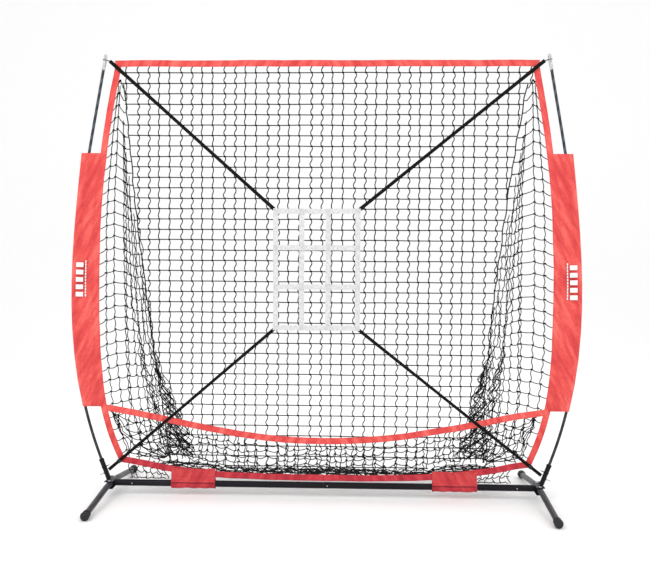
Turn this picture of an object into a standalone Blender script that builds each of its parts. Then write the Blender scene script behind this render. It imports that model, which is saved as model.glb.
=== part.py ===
"""A pitching target net: a red-bound net held open by two bowed poles on a folding steel base.

Metres, +X to the net's right, +Y to its back, +Z up. The origin is on the ground, at the middle of the
base, and the net's mouth lies in the plane Y = 0. A piece of the left side mirrors its twin on the right.
"""

import math

import bmesh
import bpy
from mathutils import Matrix, Vector

GAP = 0.0003  # between two pieces that touch
BAR_FACETS = 18
LEG_FACETS = 14
POLE_FACETS = 10
SIDES = {"left": -1, "right": 1}
ENDS = {"front": -1, "rear": 1}

# Base: a cross bar between two hubs, each with a front and a rear leg.
HUB_X = 1.045
BAR_Z = 0.060
BAR_RADIUS = 0.016
BAR_WALL = 0.0015
SPIGOT_RADIUS = BAR_RADIUS - BAR_WALL - GAP
SPIGOT_WALL = 0.0022
HUB_HALF_WIDTH = 0.020
HUB_SPIGOT_LENGTH = 0.125
CENTRE_SPIGOT_LENGTH = 0.090
PLATE_THICKNESS = 0.003
LEG_RADIUS = 0.014
LEG_WALL = 0.0015
PLATE_CLEARANCE = 0.001
PIVOT_Y = 0.046
LEG_REACH = 0.399  # from the pivot to the middle of the foot cap
LEG_LEVEL = 0.034  # the leg leaves the hub level, then slopes down
LEG_TAIL = 0.013  # behind the pivot
PIN_RADIUS = 0.004
PIN_HEAD_RADIUS = 0.0075
PIN_HEAD = 0.0025
FOOT_RADIUS = 0.0205
FOOT_FLAT = 0.0010  # how much of the round foot cap its flat pad takes away
CAP_LENGTH = 0.048
CAP_WALL = 0.003

# Snap buttons in the bar's front side.
BUTTON_RADIUS = 0.0032
BUTTON_PROUD = 0.0028
BUTTON_X = {"left": -(HUB_X - 0.105), "centre": 0.020, "right": HUB_X - 0.105}

# Bowed poles, each in a leaning socket on its hub.
POLE_RADIUS = 0.007
SOCKET_TOP = Vector((1.095, 0, 0.172))
SOCKET_LEAN = math.radians(21)
SOCKET_RADIUS = 0.0115
POLE_SEAT = 0.088  # how far the pole goes down into its socket
POLE_TIP = Vector((1.065, 0, 2.140))
TIP_LEAN = math.radians(10)
POLE_HANDLES = (0.70, 0.68)
POLE_STEPS = 36
JOINT_STEP = 16  # the step of the pole's curve where its two sections meet
FERRULE_WALL = 0.0014
CAP_STEPS = 1.15  # how many steps of the pole the tip cap covers
TIP_CAP_WALL = 0.0016
LOCK_DEPTH = 0.068  # from the socket's mouth down to the lock pin
LOCK_RADIUS = 0.0025

# Net: its red binding, in the plane of the mouth.
BINDING_WIDTH = 0.027
BINDING_THICKNESS = 0.004
TOP_Z = 2.115
TOP_HALF = 1.020
SIDE_TOP = Vector((1.003, 0, TOP_Z - BINDING_WIDTH / 2 - 0.0035))
SIDE_WIDEST = Vector((1.118, 0, 0.95))
SIDE_BOTTOM = Vector((0.995, 0, 0.178))
SIDE_STEPS = 10
BOTTOM_Z = 0.097
BOTTOM_RISE = 0.080
BOTTOM_HALF = 0.972
BOTTOM_POWER = 3.3
LIP_END_Z = 0.431
LIP_SAG = 0.155
LIP_HALF = 1.060
LIP_POWER = 1.15
NET_THICKNESS = 0.0012
NET_CLEARANCE = 0.001
NET_DEPTH = 0.455
NET_TOP_HALF = 0.985
NET_BOTTOM_HALF = 0.848
NET_LOW_Z = 0.022
NET_CORNER_Z = 0.066
NET_COLUMNS = 16
SIDE_NET_TOP = 2.02

# Sleeves of cloth round the poles, and wraps round the bar.
SLEEVE_BOTTOM = 0.436
SLEEVE_TOP = 1.675
SLEEVE_STEPS = 10
SLEEVE_FACETS = 14
SLEEVE_FLARE = 0.025  # extra width at the sleeve's top outer corner
SLEEVE_EDGE = 0.0016  # half the thickness along its seam
CHANNEL_RADIUS = 0.0098
SEAM_CLEARANCE = 0.0022
CLOTH = 0.0020
WRAP_X = 0.6385
WRAP_LENGTH = 0.217
WRAP_BORE = 0.0170
WRAP_HANG = 0.006

# Strike zone: white webbing, hung from four elastic straps.
ZONE_X = -0.038
ZONE_Z = 1.115
ZONE_WIDTH = 0.422
ZONE_HEIGHT = 0.590
WEBBING = 0.025
WEBBING_THICKNESS = 0.0016
ZONE_UPRIGHTS = {"left": -0.0725, "right": 0.0555}
ZONE_CROSSBARS = {"upper": 0.105, "lower": -0.084}
ZONE_Y = -0.010
STRAP_WIDTH = 0.016
STRAP_THICKNESS = 0.0018
UPPER_ANCHOR = Vector((1.043, ZONE_Y, 2.116))
LOWER_ANCHOR = Vector((1.050, ZONE_Y, 0.130))
LOOP_CORD = 0.0016
SLIDER_LENGTH = 0.016
SLIDER_REST = 0.060  # from the strap's end
SLIDER_WALL = 0.0025


def clear_scene():
    for thing in list(bpy.data.objects):
        bpy.data.objects.remove(thing)


def material(name, colour, roughness, metallic=0.0):
    """A Principled material of one linear colour."""
    made = bpy.data.materials.new(name)
    made.use_nodes = True
    shader = made.node_tree.nodes["Principled BSDF"]
    shader.inputs["Base Color"].default_value = (*colour, 1.0)
    shader.inputs["Roughness"].default_value = roughness
    shader.inputs["Metallic"].default_value = metallic
    made.diffuse_color = (*colour, 1.0)
    return made


# Meshes


def finish_mesh(name, shape, smooth_angle=40):
    """The bmesh as a mesh with its faces pointing out, smooth where it is round."""
    bmesh.ops.recalc_face_normals(shape, faces=shape.faces)
    mesh = bpy.data.meshes.new(name)
    shape.to_mesh(mesh)
    shape.free()
    mesh.shade_smooth()
    mesh.set_sharp_from_angle(angle=math.radians(smooth_angle))
    return mesh


def add_node(name, mesh, finish, at=(0, 0, 0), turn=0.0):
    """One object of the model, at its reference point and turned about the vertical."""
    node = bpy.data.objects.new(name, mesh)
    node.location = at
    node.rotation_euler = (0, 0, turn)
    if not mesh.materials:
        mesh.materials.append(finish)
    bpy.context.scene.collection.objects.link(node)
    return node


def add_tool(name, mesh):
    """A hidden body that a Boolean uses."""
    tool = bpy.data.objects.new(name, mesh)
    tool.hide_render = True
    tool.display_type = "WIRE"
    bpy.context.scene.collection.objects.link(tool)
    return tool


def boolean(node, tool, operation="DIFFERENCE"):
    modifier = node.modifiers.new(tool.name, "BOOLEAN")
    modifier.operation = operation
    modifier.object = tool


def skin(shape, rings, inward=False):
    """Faces between one ring of vertices and the next."""
    for ring, following in zip(rings, rings[1:]):
        count = len(ring)
        for i in range(count):
            j = (i + 1) % count
            corners = (ring[i], ring[j], following[j], following[i])
            shape.faces.new(corners[::-1] if inward else corners)


def solid_of_rings(name, outer, inner=None, blind=False):
    """A body through rings of points. Inner rings hollow it, right through or, if blind, from its end."""
    shape = bmesh.new()
    walls = [[shape.verts.new(point) for point in ring] for ring in outer]
    skin(shape, walls)
    if inner is None:
        shape.faces.new(walls[0])
        shape.faces.new(walls[-1])
        return finish_mesh(name, shape)
    bore = [[shape.verts.new(point) for point in ring] for ring in inner]
    skin(shape, bore, inward=True)
    skin(shape, [walls[-1], bore[-1]])
    if blind:
        shape.faces.new(walls[0])
        shape.faces.new(bore[0])
    else:
        skin(shape, [bore[0], walls[0]])
    return finish_mesh(name, shape)


def circle(radius, sides, start=0.0):
    """Points of a circle, as (across, along) pairs of a section."""
    angles = [start + math.tau * i / sides for i in range(sides)]
    return [(radius * math.cos(a), radius * math.sin(a)) for a in angles]


def rectangle(across, along):
    return [(sx * across / 2, sz * along / 2) for sx, sz in ((-1, -1), (1, -1), (1, 1), (-1, 1))]


def directions(path):
    """The direction of travel at each point of a path."""
    ahead = path[1:] + path[-1:]
    behind = path[:1] + path[:-1]
    return [(a - b).normalized() for a, b in zip(ahead, behind)]


def swept_rings(path, section, plane_normal):
    """The section at each point of a flat path. Its first coordinate goes along the plane's normal."""
    rings = []
    for point, direction in zip(path, directions(path)):
        side = direction.cross(plane_normal).normalized()
        rings.append([point + plane_normal * u + side * v for u, v in section])
    return rings


def tapered_rings(path, radii, plane_normal):
    """Round sections along a flat path, each with its own radius."""
    unit = swept_rings(path, circle(1, POLE_FACETS), plane_normal)
    return [
        [middle + (corner - middle) * radius for corner in ring]
        for middle, ring, radius in zip(path, unit, radii)
    ]


def bar_along(name, path, section, plane_normal):
    return solid_of_rings(name, swept_rings(path, section, plane_normal))


def mirrored(points, side):
    """The right side's points, on the asked side."""
    return [Vector((side * p.x, p.y, p.z)) for p in points]


def turned_body(name, profile, axis, start, sides=20):
    """A body of revolution. Its profile is (distance along the axis, radius) pairs and ends on the axis."""
    shape = bmesh.new()
    across = axis.orthogonal().normalized()
    chain = [shape.verts.new(start + axis * along + across * radius) for along, radius in profile]
    edges = [shape.edges.new(pair) for pair in zip(chain, chain[1:])]
    bmesh.ops.spin(
        shape,
        geom=chain + edges,
        cent=start,
        axis=axis,
        angle=math.tau,
        steps=sides,
        use_merge=True,
        use_duplicate=False,
    )
    bmesh.ops.remove_doubles(shape, verts=shape.verts, dist=0.00001)
    return finish_mesh(name, shape, smooth_angle=35)


def rod(name, start, end, radius, sides=12):
    """A plain round rod between two points."""
    axis = end - start
    profile = [(0, 0), (0, radius), (axis.length, radius), (axis.length, 0)]
    return turned_body(name, profile, axis.normalized(), start, sides)


def box_mesh(name, low, high):
    shape = bmesh.new()
    bmesh.ops.create_cube(shape, size=1)
    size = Vector(high) - Vector(low)
    middle = (Vector(high) + Vector(low)) / 2
    placed = Matrix.Translation(middle) @ Matrix.Diagonal((*size, 1))
    bmesh.ops.transform(shape, matrix=placed, verts=shape.verts)
    return finish_mesh(name, shape)


def sheet(name, grid, finish):
    """A thin sheet through a grid of points, made solid by Solidify."""
    shape = bmesh.new()
    rows = [[shape.verts.new(point) for point in row] for row in grid]
    for row, following in zip(rows, rows[1:]):
        for i in range(len(row) - 1):
            shape.faces.new((row[i], row[i + 1], following[i + 1], following[i]))
    node = add_node(name, finish_mesh(name, shape), finish)
    thick = node.modifiers.new("cloth", "SOLIDIFY")
    thick.thickness = NET_THICKNESS
    thick.offset = 0
    return node


# Curves that several pieces share, all for the right side


def bezier(corners, t):
    a, b, c, d = corners
    u = 1 - t
    return a * u**3 + b * (3 * u * u * t) + c * (3 * u * t * t) + d * t**3


def leaning(angle):
    """The upward direction that leans out by an angle."""
    return Vector((math.sin(angle), 0, math.cos(angle)))


def pole_point(step):
    """A point of the bowed pole's centreline, from its socket's mouth at step 0 to its tip at the last."""
    lower, upper = POLE_HANDLES
    corners = (
        SOCKET_TOP,
        SOCKET_TOP + leaning(SOCKET_LEAN) * lower,
        POLE_TIP - leaning(-TIP_LEAN) * upper,
        POLE_TIP,
    )
    return bezier(corners, step / POLE_STEPS)


def side_path():
    """The side binding's centreline, from the top corner to the bottom one."""
    down = Vector((0, 0, -1))
    upper = (
        SIDE_TOP,
        SIDE_TOP - leaning(math.radians(-12)) * 0.45,
        SIDE_WIDEST - down * 0.40,
        SIDE_WIDEST,
    )
    lower = (
        SIDE_WIDEST,
        SIDE_WIDEST + down * 0.40,
        SIDE_BOTTOM + leaning(math.radians(27)) * 0.20,
        SIDE_BOTTOM,
    )
    above = [bezier(upper, i / SIDE_STEPS) for i in range(SIDE_STEPS)]
    return above + [bezier(lower, i / SIDE_STEPS) for i in range(SIDE_STEPS + 1)]


def x_at(path, height):
    """Where a path that keeps rising or falling crosses a height."""
    for a, b in zip(path, path[1:]):
        if min(a.z, b.z) <= height <= max(a.z, b.z):
            return a.x + (b.x - a.x) * (height - a.z) / (b.z - a.z)
    return path[0].x if abs(height - path[0].z) < abs(height - path[-1].z) else path[-1].x


def bottom_point(x):
    """The bottom binding's centreline, which rises towards the corners."""
    return Vector((x, 0, BOTTOM_Z + BOTTOM_RISE * (abs(x) / BOTTOM_HALF) ** BOTTOM_POWER))


def lip_point(x):
    """The pocket lip's centreline, which sags between the side bindings."""
    hang = max(0.0, math.cos(math.pi / 2 * x / LIP_HALF)) ** LIP_POWER
    return Vector((x, 0, LIP_END_Z - LIP_SAG * hang))


def net_y(height):
    """How far back the sloping back net is at a height."""
    return NET_DEPTH * (TOP_Z - height) / (TOP_Z - NET_LOW_Z)


def net_half_width(height):
    """Half the back net's width, which narrows towards the ground."""
    down = (TOP_Z - height) / (TOP_Z - NET_LOW_Z)
    return NET_TOP_HALF + (NET_BOTTOM_HALF - NET_TOP_HALF) * down


def net_foot_z(x):
    """The height of the net's rear foot. Its corners stay above the rear legs' way when they fold."""
    start, full = 0.50, 0.62
    t = min(1.0, max(0.0, (abs(x) - start) / (full - start)))
    return NET_LOW_Z + (NET_CORNER_Z - NET_LOW_Z) * t * t * (3 - 2 * t)


# Base


def button_tools():
    """A hole for each snap button, through the front wall of the bar and of the spigot in it."""
    return {
        name: add_tool(
            f"button_hole_{name}",
            rod("button_hole", Vector((x, -0.030, BAR_Z)), Vector((x, -0.004, BAR_Z)), BUTTON_RADIUS + GAP),
        )
        for name, x in BUTTON_X.items()
    }


def tube_along_bar(name, outer_stops, bore_stops, blind=False):
    """A round tube along the bar's axis. Its stops are (x, radius) pairs."""
    outer, bore = (
        [[Vector((x, u, BAR_Z + v)) for u, v in circle(radius, BAR_FACETS)] for x, radius in stops]
        for stops in (outer_stops, bore_stops)
    )
    return solid_of_rings(name, outer, bore, blind)


def cross_bars(steel, holes):
    """The bar's two halves. The left one ends in a reduced spigot that the right one slides over."""
    end = HUB_X - HUB_HALF_WIDTH - GAP
    bore = BAR_RADIUS - BAR_WALL
    spigot_bore = SPIGOT_RADIUS - SPIGOT_WALL
    shoulder = -0.002
    outside = [(GAP, BAR_RADIUS), (end, BAR_RADIUS)]
    inside = [(GAP, bore), (end, bore)]
    right = tube_along_bar("cross_bar_right", outside, inside)
    stops = (-end, shoulder, 0, CENTRE_SPIGOT_LENGTH)
    outside = zip(stops, (BAR_RADIUS, BAR_RADIUS, SPIGOT_RADIUS, SPIGOT_RADIUS))
    inside = zip(stops, (bore, bore, spigot_bore, spigot_bore))
    left = tube_along_bar("cross_bar_left", outside, inside)
    for name, mesh in (("right", right), ("left", left)):
        half = add_node(f"cross_bar_{name}", mesh, steel)
        boolean(half, holes["centre"])
        boolean(half, holes[name])


def hub_spigot(side):
    """The hub's spigot for the bar, hollow from its free end."""
    root = HUB_X - HUB_HALF_WIDTH
    free = root - HUB_SPIGOT_LENGTH
    bore = SPIGOT_RADIUS - SPIGOT_WALL
    return tube_along_bar(
        "hub_spigot",
        [(side * (root + 0.002), SPIGOT_RADIUS), (side * free, SPIGOT_RADIUS)],
        [(side * (root - 0.004), bore), (side * free, bore)],
        blind=True,
    )


def hubs(steel, holes):
    """Each hub: a spine block, a plate above and below the legs, and the spigot."""
    half_gap = LEG_RADIUS + PLATE_CLEARANCE
    top = half_gap + PLATE_THICKNESS
    spine = BAR_RADIUS - 0.001
    tail = 0.017
    for name, side in SIDES.items():
        low_x, high_x = sorted((side * (HUB_X - HUB_HALF_WIDTH), side * (HUB_X + HUB_HALF_WIDTH)))
        hub = add_node(
            f"hub_{name}",
            box_mesh(f"hub_{name}", (low_x, -spine, BAR_Z - top), (high_x, spine, BAR_Z + top)),
            steel,
        )
        boolean(hub, add_tool(f"hub_spigot_{name}", hub_spigot(side)), "UNION")
        for level, low, high in (("upper", half_gap, top), ("lower", -top, -half_gap)):
            plate = box_mesh(
                "plate",
                (low_x, -PIVOT_Y - tail, BAR_Z + low),
                (high_x, PIVOT_Y + tail, BAR_Z + high),
            )
            boolean(hub, add_tool(f"hub_plate_{level}_{name}", plate), "UNION")
        for end, way in ENDS.items():
            middle = Vector((side * HUB_X, way * PIVOT_Y, BAR_Z))
            reach = Vector((0, 0, 0.03))
            hole = rod("pivot_hole", middle - reach, middle + reach, PIN_RADIUS + GAP)
            boolean(hub, add_tool(f"pivot_hole_{end}_{name}", hole))
        boolean(hub, holes[name])


def leg_path():
    """A leg's centreline from its pivot at the origin, forwards and then down to the ground."""
    drop = BAR_Z - (FOOT_RADIUS - FOOT_FLAT)
    foot = Vector((0, -LEG_REACH, -drop))
    bend = Vector((0, -LEG_LEVEL, 0))
    slope = (foot - bend).normalized()
    # One short facet eases the bend between the two straight runs.
    ease = 0.010
    return [
        Vector((0, LEG_TAIL, 0)),
        bend + Vector((0, ease, 0)),
        bend + slope * ease,
        foot - slope * 0.006,
    ]


def leg_slope():
    path = leg_path()
    return (path[-1] - path[-2]).normalized()


def legs(grey, rubber, zinc):
    """Four legs that share one mesh, each with its foot cap and the pin it folds on."""
    path = leg_path()
    sideways = Vector((1, 0, 0))
    outer = swept_rings(path, circle(LEG_RADIUS, LEG_FACETS), sideways)
    bore_path = [path[0] - Vector((0, 0.003, 0))] + path[1:]
    bore = swept_rings(bore_path, circle(LEG_RADIUS - LEG_WALL, LEG_FACETS), sideways)
    leg_mesh = solid_of_rings("leg", outer, bore, blind=True)
    cap_mesh = foot_cap_mesh()
    pin_mesh = leg_pin_mesh()
    for end, way in ENDS.items():
        for name, side in SIDES.items():
            pivot = Vector((side * HUB_X, way * PIVOT_Y, BAR_Z))
            turn = math.pi if way > 0 else 0.0
            leg = add_node(f"leg_{end}_{name}", leg_mesh, grey, pivot, turn)
            reach = Vector((0, 0, 0.02))
            hole = rod("leg_hole", pivot - reach, pivot + reach, PIN_RADIUS + GAP)
            boolean(leg, add_tool(f"leg_hole_{end}_{name}", hole))
            cap = add_node(f"foot_cap_{end}_{name}", cap_mesh, rubber)
            cap.parent = leg
            ground = box_mesh(
                "ground",
                (side * HUB_X - 0.06, way * (PIVOT_Y + LEG_REACH) - 0.06, -0.05),
                (side * HUB_X + 0.06, way * (PIVOT_Y + LEG_REACH) + 0.06, 0.0),
            )
            boolean(cap, add_tool(f"ground_{end}_{name}", ground))
            add_node(f"leg_pin_{end}_{name}", pin_mesh, zinc, pivot)


def foot_cap_mesh():
    """A rubber cap with a bore for the leg's end and a rounded nose, in its leg's own frame."""
    slope = leg_slope()
    path = leg_path()
    leg_end = path[-1] + slope * 0.001
    mouth = leg_end - slope * 0.026
    bore = LEG_RADIUS + GAP
    lip = bore + CAP_WALL
    nose_middle = 0.033
    round_steps = 4
    nose = [
        (
            nose_middle + (CAP_LENGTH - nose_middle) * math.sin(math.pi / 2 * i / round_steps),
            FOOT_RADIUS * math.cos(math.pi / 2 * i / round_steps),
        )
        for i in range(round_steps)
    ]
    profile = [
        (0.026, 0),
        (0.026, bore),
        (0, bore),
        (0, lip),
        (0.012, lip + 0.0006),
        (0.020, FOOT_RADIUS),
        *nose,
        (CAP_LENGTH, 0),
    ]
    return turned_body("foot_cap", profile, slope, mouth, sides=16)


def leg_pin_mesh():
    """A headed pin through the hub's plates and the leg."""
    half = LEG_RADIUS + PLATE_CLEARANCE + PLATE_THICKNESS + GAP
    profile = [
        (-half - PIN_HEAD, 0),
        (-half - PIN_HEAD, PIN_HEAD_RADIUS * 0.7),
        (-half - PIN_HEAD * 0.5, PIN_HEAD_RADIUS),
        (-half, PIN_HEAD_RADIUS),
        (-half, PIN_RADIUS),
        (half, PIN_RADIUS),
        (half, PIN_HEAD_RADIUS),
        (half + PIN_HEAD * 0.5, PIN_HEAD_RADIUS),
        (half + PIN_HEAD, PIN_HEAD_RADIUS * 0.7),
        (half + PIN_HEAD, 0),
    ]
    return turned_body("leg_pin", profile, Vector((0, 0, 1)), Vector((0, 0, 0)), sides=10)


def snap_buttons(zinc):
    """Domed buttons with a flange that stops them inside the spigot."""
    flange = 0.0048
    inside = 0.0105
    tip = BAR_RADIUS + BUTTON_PROUD
    profile = [
        (inside - 0.0015, 0),
        (inside - 0.0015, flange),
        (inside, flange),
        (inside, BUTTON_RADIUS),
        (tip - 0.0015, BUTTON_RADIUS),
        (tip - 0.0004, BUTTON_RADIUS * 0.75),
        (tip, BUTTON_RADIUS * 0.35),
        (tip, 0),
    ]
    mesh = turned_body("snap_button", profile, Vector((0, -1, 0)), Vector((0, 0, 0)), sides=12)
    for name, x in BUTTON_X.items():
        add_node(f"snap_button_{name}", mesh, zinc, (x, 0, BAR_Z))


# Poles


def lock_tools(side, name):
    """The hole of the socket's lock pin, through the socket's outer wall and into the pole."""
    middle, outward = lock_axis(side)
    hole = rod("lock_hole", middle + outward * 0.0038, middle + outward * 0.03, LOCK_RADIUS + GAP)
    return add_tool(f"lock_hole_{name}", hole)


def lock_axis(side):
    """A point on the pole's axis at the lock pin, and the pin's outward direction."""
    middle = SOCKET_TOP - leaning(SOCKET_LEAN) * LOCK_DEPTH
    outward = Vector((math.cos(SOCKET_LEAN), 0, -math.sin(SOCKET_LEAN)))
    return mirrored([middle, outward], side)


def sockets_and_pins(steel, zinc, lock_holes):
    """The socket that each pole stands in, and the ringed pin that locks the pole."""
    plate_top = BAR_Z + LEG_RADIUS + PLATE_CLEARANCE + PLATE_THICKNESS
    up = leaning(SOCKET_LEAN)
    depth = (SOCKET_TOP.z - plate_top) / up.z + 0.02
    across = Vector((0, 1, 0))
    for name, side in SIDES.items():
        path = mirrored([SOCKET_TOP - up * depth, SOCKET_TOP], side)
        rings = swept_rings(path, circle(SOCKET_RADIUS, LEG_FACETS), across)
        bore = swept_rings(path, circle(POLE_RADIUS + GAP, LEG_FACETS), across)
        socket = add_node(f"pole_socket_{name}", solid_of_rings(f"pole_socket_{name}", rings, bore), steel)
        middle = side * HUB_X
        plate = box_mesh("below", (middle - 0.1, -0.1, -0.1), (middle + 0.1, 0.1, plate_top + GAP))
        boolean(socket, add_tool(f"below_socket_{name}", plate))
        boolean(socket, lock_holes[name])
        add_lock_pin(name, side, zinc)


def add_lock_pin(name, side, zinc):
    """A pin with a collar outside the socket and a pull ring through its end."""
    middle, outward = lock_axis(side)
    nose = POLE_RADIUS - 0.0028
    collar = SOCKET_RADIUS + GAP
    tail = SOCKET_RADIUS + 0.010
    profile = [
        (nose, 0),
        (nose, LOCK_RADIUS),
        (collar, LOCK_RADIUS),
        (collar, LOCK_RADIUS + 0.0022),
        (collar + 0.004, LOCK_RADIUS + 0.0022),
        (collar + 0.004, LOCK_RADIUS),
        (tail, LOCK_RADIUS),
        (tail, 0),
    ]
    mesh = turned_body(f"lock_pin_{name}", profile, outward, Vector((0, 0, 0)), sides=10)
    pin = add_node(f"lock_pin_{name}", mesh, zinc, middle)
    ring_radius, wire = 0.0075, 0.0014
    centre = middle + outward * (tail - 0.001 + ring_radius)
    ring_path = [centre + across_loop(outward, ring_radius, angle) for angle in ring_angles()]
    boolean(pin, add_tool(f"pull_ring_{name}", closed_loop("pull_ring", ring_path, wire, 6)), "UNION")


def closed_loop(name, path, radius, sides):
    """A round cord along a closed flat path."""
    shape = bmesh.new()
    count = len(path)
    normal = (path[1] - path[0]).cross(path[count // 2] - path[0]).normalized()
    rings = []
    for i, point in enumerate(path):
        direction = (path[(i + 1) % count] - path[i - 1]).normalized()
        side = direction.cross(normal)
        rings.append([shape.verts.new(point + normal * u + side * v) for u, v in circle(radius, sides)])
    skin(shape, rings + rings[:1])
    return finish_mesh(name, shape)


def pole_rings(steps, radius, side, before=()):
    path = mirrored([*before, *(pole_point(step) for step in steps)], side)
    return swept_rings(path, circle(radius, POLE_FACETS), Vector((0, 1, 0)))


def poles(black, slate, ferrule_finish, clear, lock_holes):
    """Each pole's two sections, the ferrule that joins them and the cap on the tip."""
    joint = JOINT_STEP
    seat = SOCKET_TOP - leaning(SOCKET_LEAN) * POLE_SEAT
    ferrule_steps = [joint - 0.8, joint - 0.01, joint + 0.01, joint + 0.8]
    lower_steps = [*range(0, joint, 2), *ferrule_steps[:2]]
    upper_steps = [*ferrule_steps[2:], *range(joint + 2, POLE_STEPS + 1, 2)]
    cap_start = POLE_STEPS - CAP_STEPS
    cap_steps = [cap_start + (POLE_STEPS - cap_start) * i / 3 for i in range(4)]
    for name, side in SIDES.items():
        rings = pole_rings(lower_steps, POLE_RADIUS, side, before=[seat])
        lower = add_node(f"pole_lower_{name}", solid_of_rings(f"pole_lower_{name}", rings), black)
        boolean(lower, lock_holes[name])
        rings = pole_rings(upper_steps, POLE_RADIUS, side)
        add_node(f"pole_upper_{name}", solid_of_rings(f"pole_upper_{name}", rings), slate)
        bore = POLE_RADIUS + GAP
        rings = pole_rings(ferrule_steps, bore + FERRULE_WALL, side)
        hollow = pole_rings(ferrule_steps, bore, side)
        mesh = solid_of_rings(f"pole_ferrule_{name}", rings, hollow)
        add_node(f"pole_ferrule_{name}", mesh, ferrule_finish)
        add_tip_cap(name, side, cap_steps, bore, clear)


def add_tip_cap(name, side, steps, bore, clear):
    """A cap with a rounded top, open towards the pole."""
    outer_radius = bore + TIP_CAP_WALL
    tip = pole_point(POLE_STEPS)
    up = leaning(-TIP_LEAN)
    rounding = [(0.0055, 1.0), (0.0085, 0.75), (0.0095, 0.30)]
    path = [pole_point(step) for step in steps] + [tip + up * rise for rise, _ in rounding]
    radii = [outer_radius] * len(steps) + [outer_radius * share for _, share in rounding]
    rings = tapered_rings(mirrored(path, side), radii, Vector((0, 1, 0)))
    bore_path = mirrored([pole_point(step) for step in steps[:-1]] + [tip + up * (2 * GAP)], side)
    hollow = swept_rings(bore_path, circle(bore, POLE_FACETS), Vector((0, 1, 0)))
    # The rings run from the closed top down to the open mouth.
    mesh = solid_of_rings(f"tip_cap_{name}", rings[::-1], hollow[::-1], blind=True)
    add_node(f"tip_cap_{name}", mesh, clear)


# Soft parts


def bindings(red, dark_red):
    """The strips that bind the net's edge, and the lip of its ball pocket."""
    back = Vector((0, 1, 0))
    strip = rectangle(BINDING_THICKNESS, BINDING_WIDTH)
    top = [Vector((-TOP_HALF, 0, TOP_Z)), Vector((TOP_HALF, 0, TOP_Z))]
    add_node("binding_top", bar_along("binding_top", top, strip, back), red)
    for name, side in SIDES.items():
        path = mirrored(side_path(), side)
        add_node(f"binding_{name}", bar_along(f"binding_{name}", path, strip, back), red)
    steps = 16
    bottom = [bottom_point(BOTTOM_HALF * (2 * i / steps - 1)) for i in range(steps + 1)]
    add_node("binding_bottom", bar_along("binding_bottom", bottom, strip, back), dark_red)
    lip = [lip_point(LIP_HALF * (2 * i / steps - 1)) for i in range(steps + 1)]
    add_node("pocket_lip", bar_along("pocket_lip", lip, strip, back), red)


def nets(twine):
    """The net's panels, as thin sheets: the back, two sides, and the pocket's front and floor."""
    edge = BINDING_WIDTH / 2 + NET_CLEARANCE
    back_top = TOP_Z - edge
    columns = [2 * i / NET_COLUMNS - 1 for i in range(NET_COLUMNS + 1)]
    rows = (0, 1)
    back = [[back_net_point(u, v, back_top) for u in columns] for v in rows]
    sheet("back_net", back, twine)

    behind = BINDING_THICKNESS / 2 + NET_THICKNESS / 2 + 2 * NET_CLEARANCE
    path = side_path()
    side_rows = 8
    for name, side in SIDES.items():
        grid = []
        for i in range(side_rows + 1):
            v = i / side_rows
            height = SIDE_NET_TOP + (SIDE_BOTTOM.z + 0.012 - SIDE_NET_TOP) * v
            foot = SIDE_NET_TOP + (NET_CORNER_Z + 0.014 - SIDE_NET_TOP) * v
            front = Vector((x_at(path, height) - BINDING_WIDTH / 2, behind, height))
            rear = Vector((net_half_width(foot) + 3 * NET_CLEARANCE, net_y(foot), foot))
            grid.append(mirrored([front, rear], side))
        sheet(f"side_net_{name}", grid, twine)

    inset = edge + NET_CLEARANCE
    top_half = LIP_HALF - 0.022
    bottom_half = BOTTOM_HALF - 0.012
    front = []
    for v in rows:
        row = []
        for u in columns:
            high = lip_point(u * top_half) - Vector((0, 0, inset))
            low = bottom_point(u * bottom_half) + Vector((0, 0, inset))
            row.append(high.lerp(low, v))
        front.append(row)
    sheet("pocket_net_front", front, twine)

    floor = []
    for v in rows:
        row = []
        for u in columns:
            near = bottom_point(u * (BOTTOM_HALF - 0.025)) + Vector((0, behind, -0.004))
            x = u * (NET_BOTTOM_HALF - 0.004)
            far = Vector((x, NET_DEPTH - 0.010, net_foot_z(x) - 0.002))
            row.append(near.lerp(far, v))
        floor.append(row)
    sheet("pocket_net_floor", floor, twine)


def back_net_point(u, v, top):
    """A point of the back net: u across from -1 to 1, v from 0 at its top to 1 at its foot."""
    foot = net_foot_z(u * NET_BOTTOM_HALF) + 0.006
    height = top + (foot - top) * v
    return Vector((u * net_half_width(height), net_y(height), height))


def sleeves(red):
    """Flat cloth sleeves, sewn beside the side bindings, with a channel for the pole."""
    outer_edge = [(0, BINDING_WIDTH / 2)]
    seam_path = [ring[0] for ring in swept_rings(side_path(), outer_edge, Vector((0, 1, 0)))]
    pole = [pole_point(step) for step in range(POLE_STEPS + 1)]
    for name, way in SIDES.items():
        outer, inner = [], []
        for i in range(SLEEVE_STEPS + 1):
            share = i / SLEEVE_STEPS
            height = SLEEVE_BOTTOM + (SLEEVE_TOP - SLEEVE_BOTTOM) * share
            seam = x_at(seam_path, height) + SEAM_CLEARANCE
            middle = x_at(pole, height)
            edge = middle + CHANNEL_RADIUS + CLOTH + SLEEVE_FLARE * share**3
            outline = sleeve_outline(seam, middle, edge)
            channel = circle(CHANNEL_RADIUS, SLEEVE_FACETS)
            outer.append(mirrored([Vector((x, y, height)) for x, y in outline], way))
            inner.append(mirrored([Vector((middle + x, y, height)) for x, y in channel], way))
        add_node(f"pole_sleeve_{name}", solid_of_rings(f"pole_sleeve_{name}", outer, inner), red)


def ring_angles():
    """The directions of a ring's points, starting outwards."""
    return [math.tau * i / SLEEVE_FACETS for i in range(SLEEVE_FACETS)]


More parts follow.
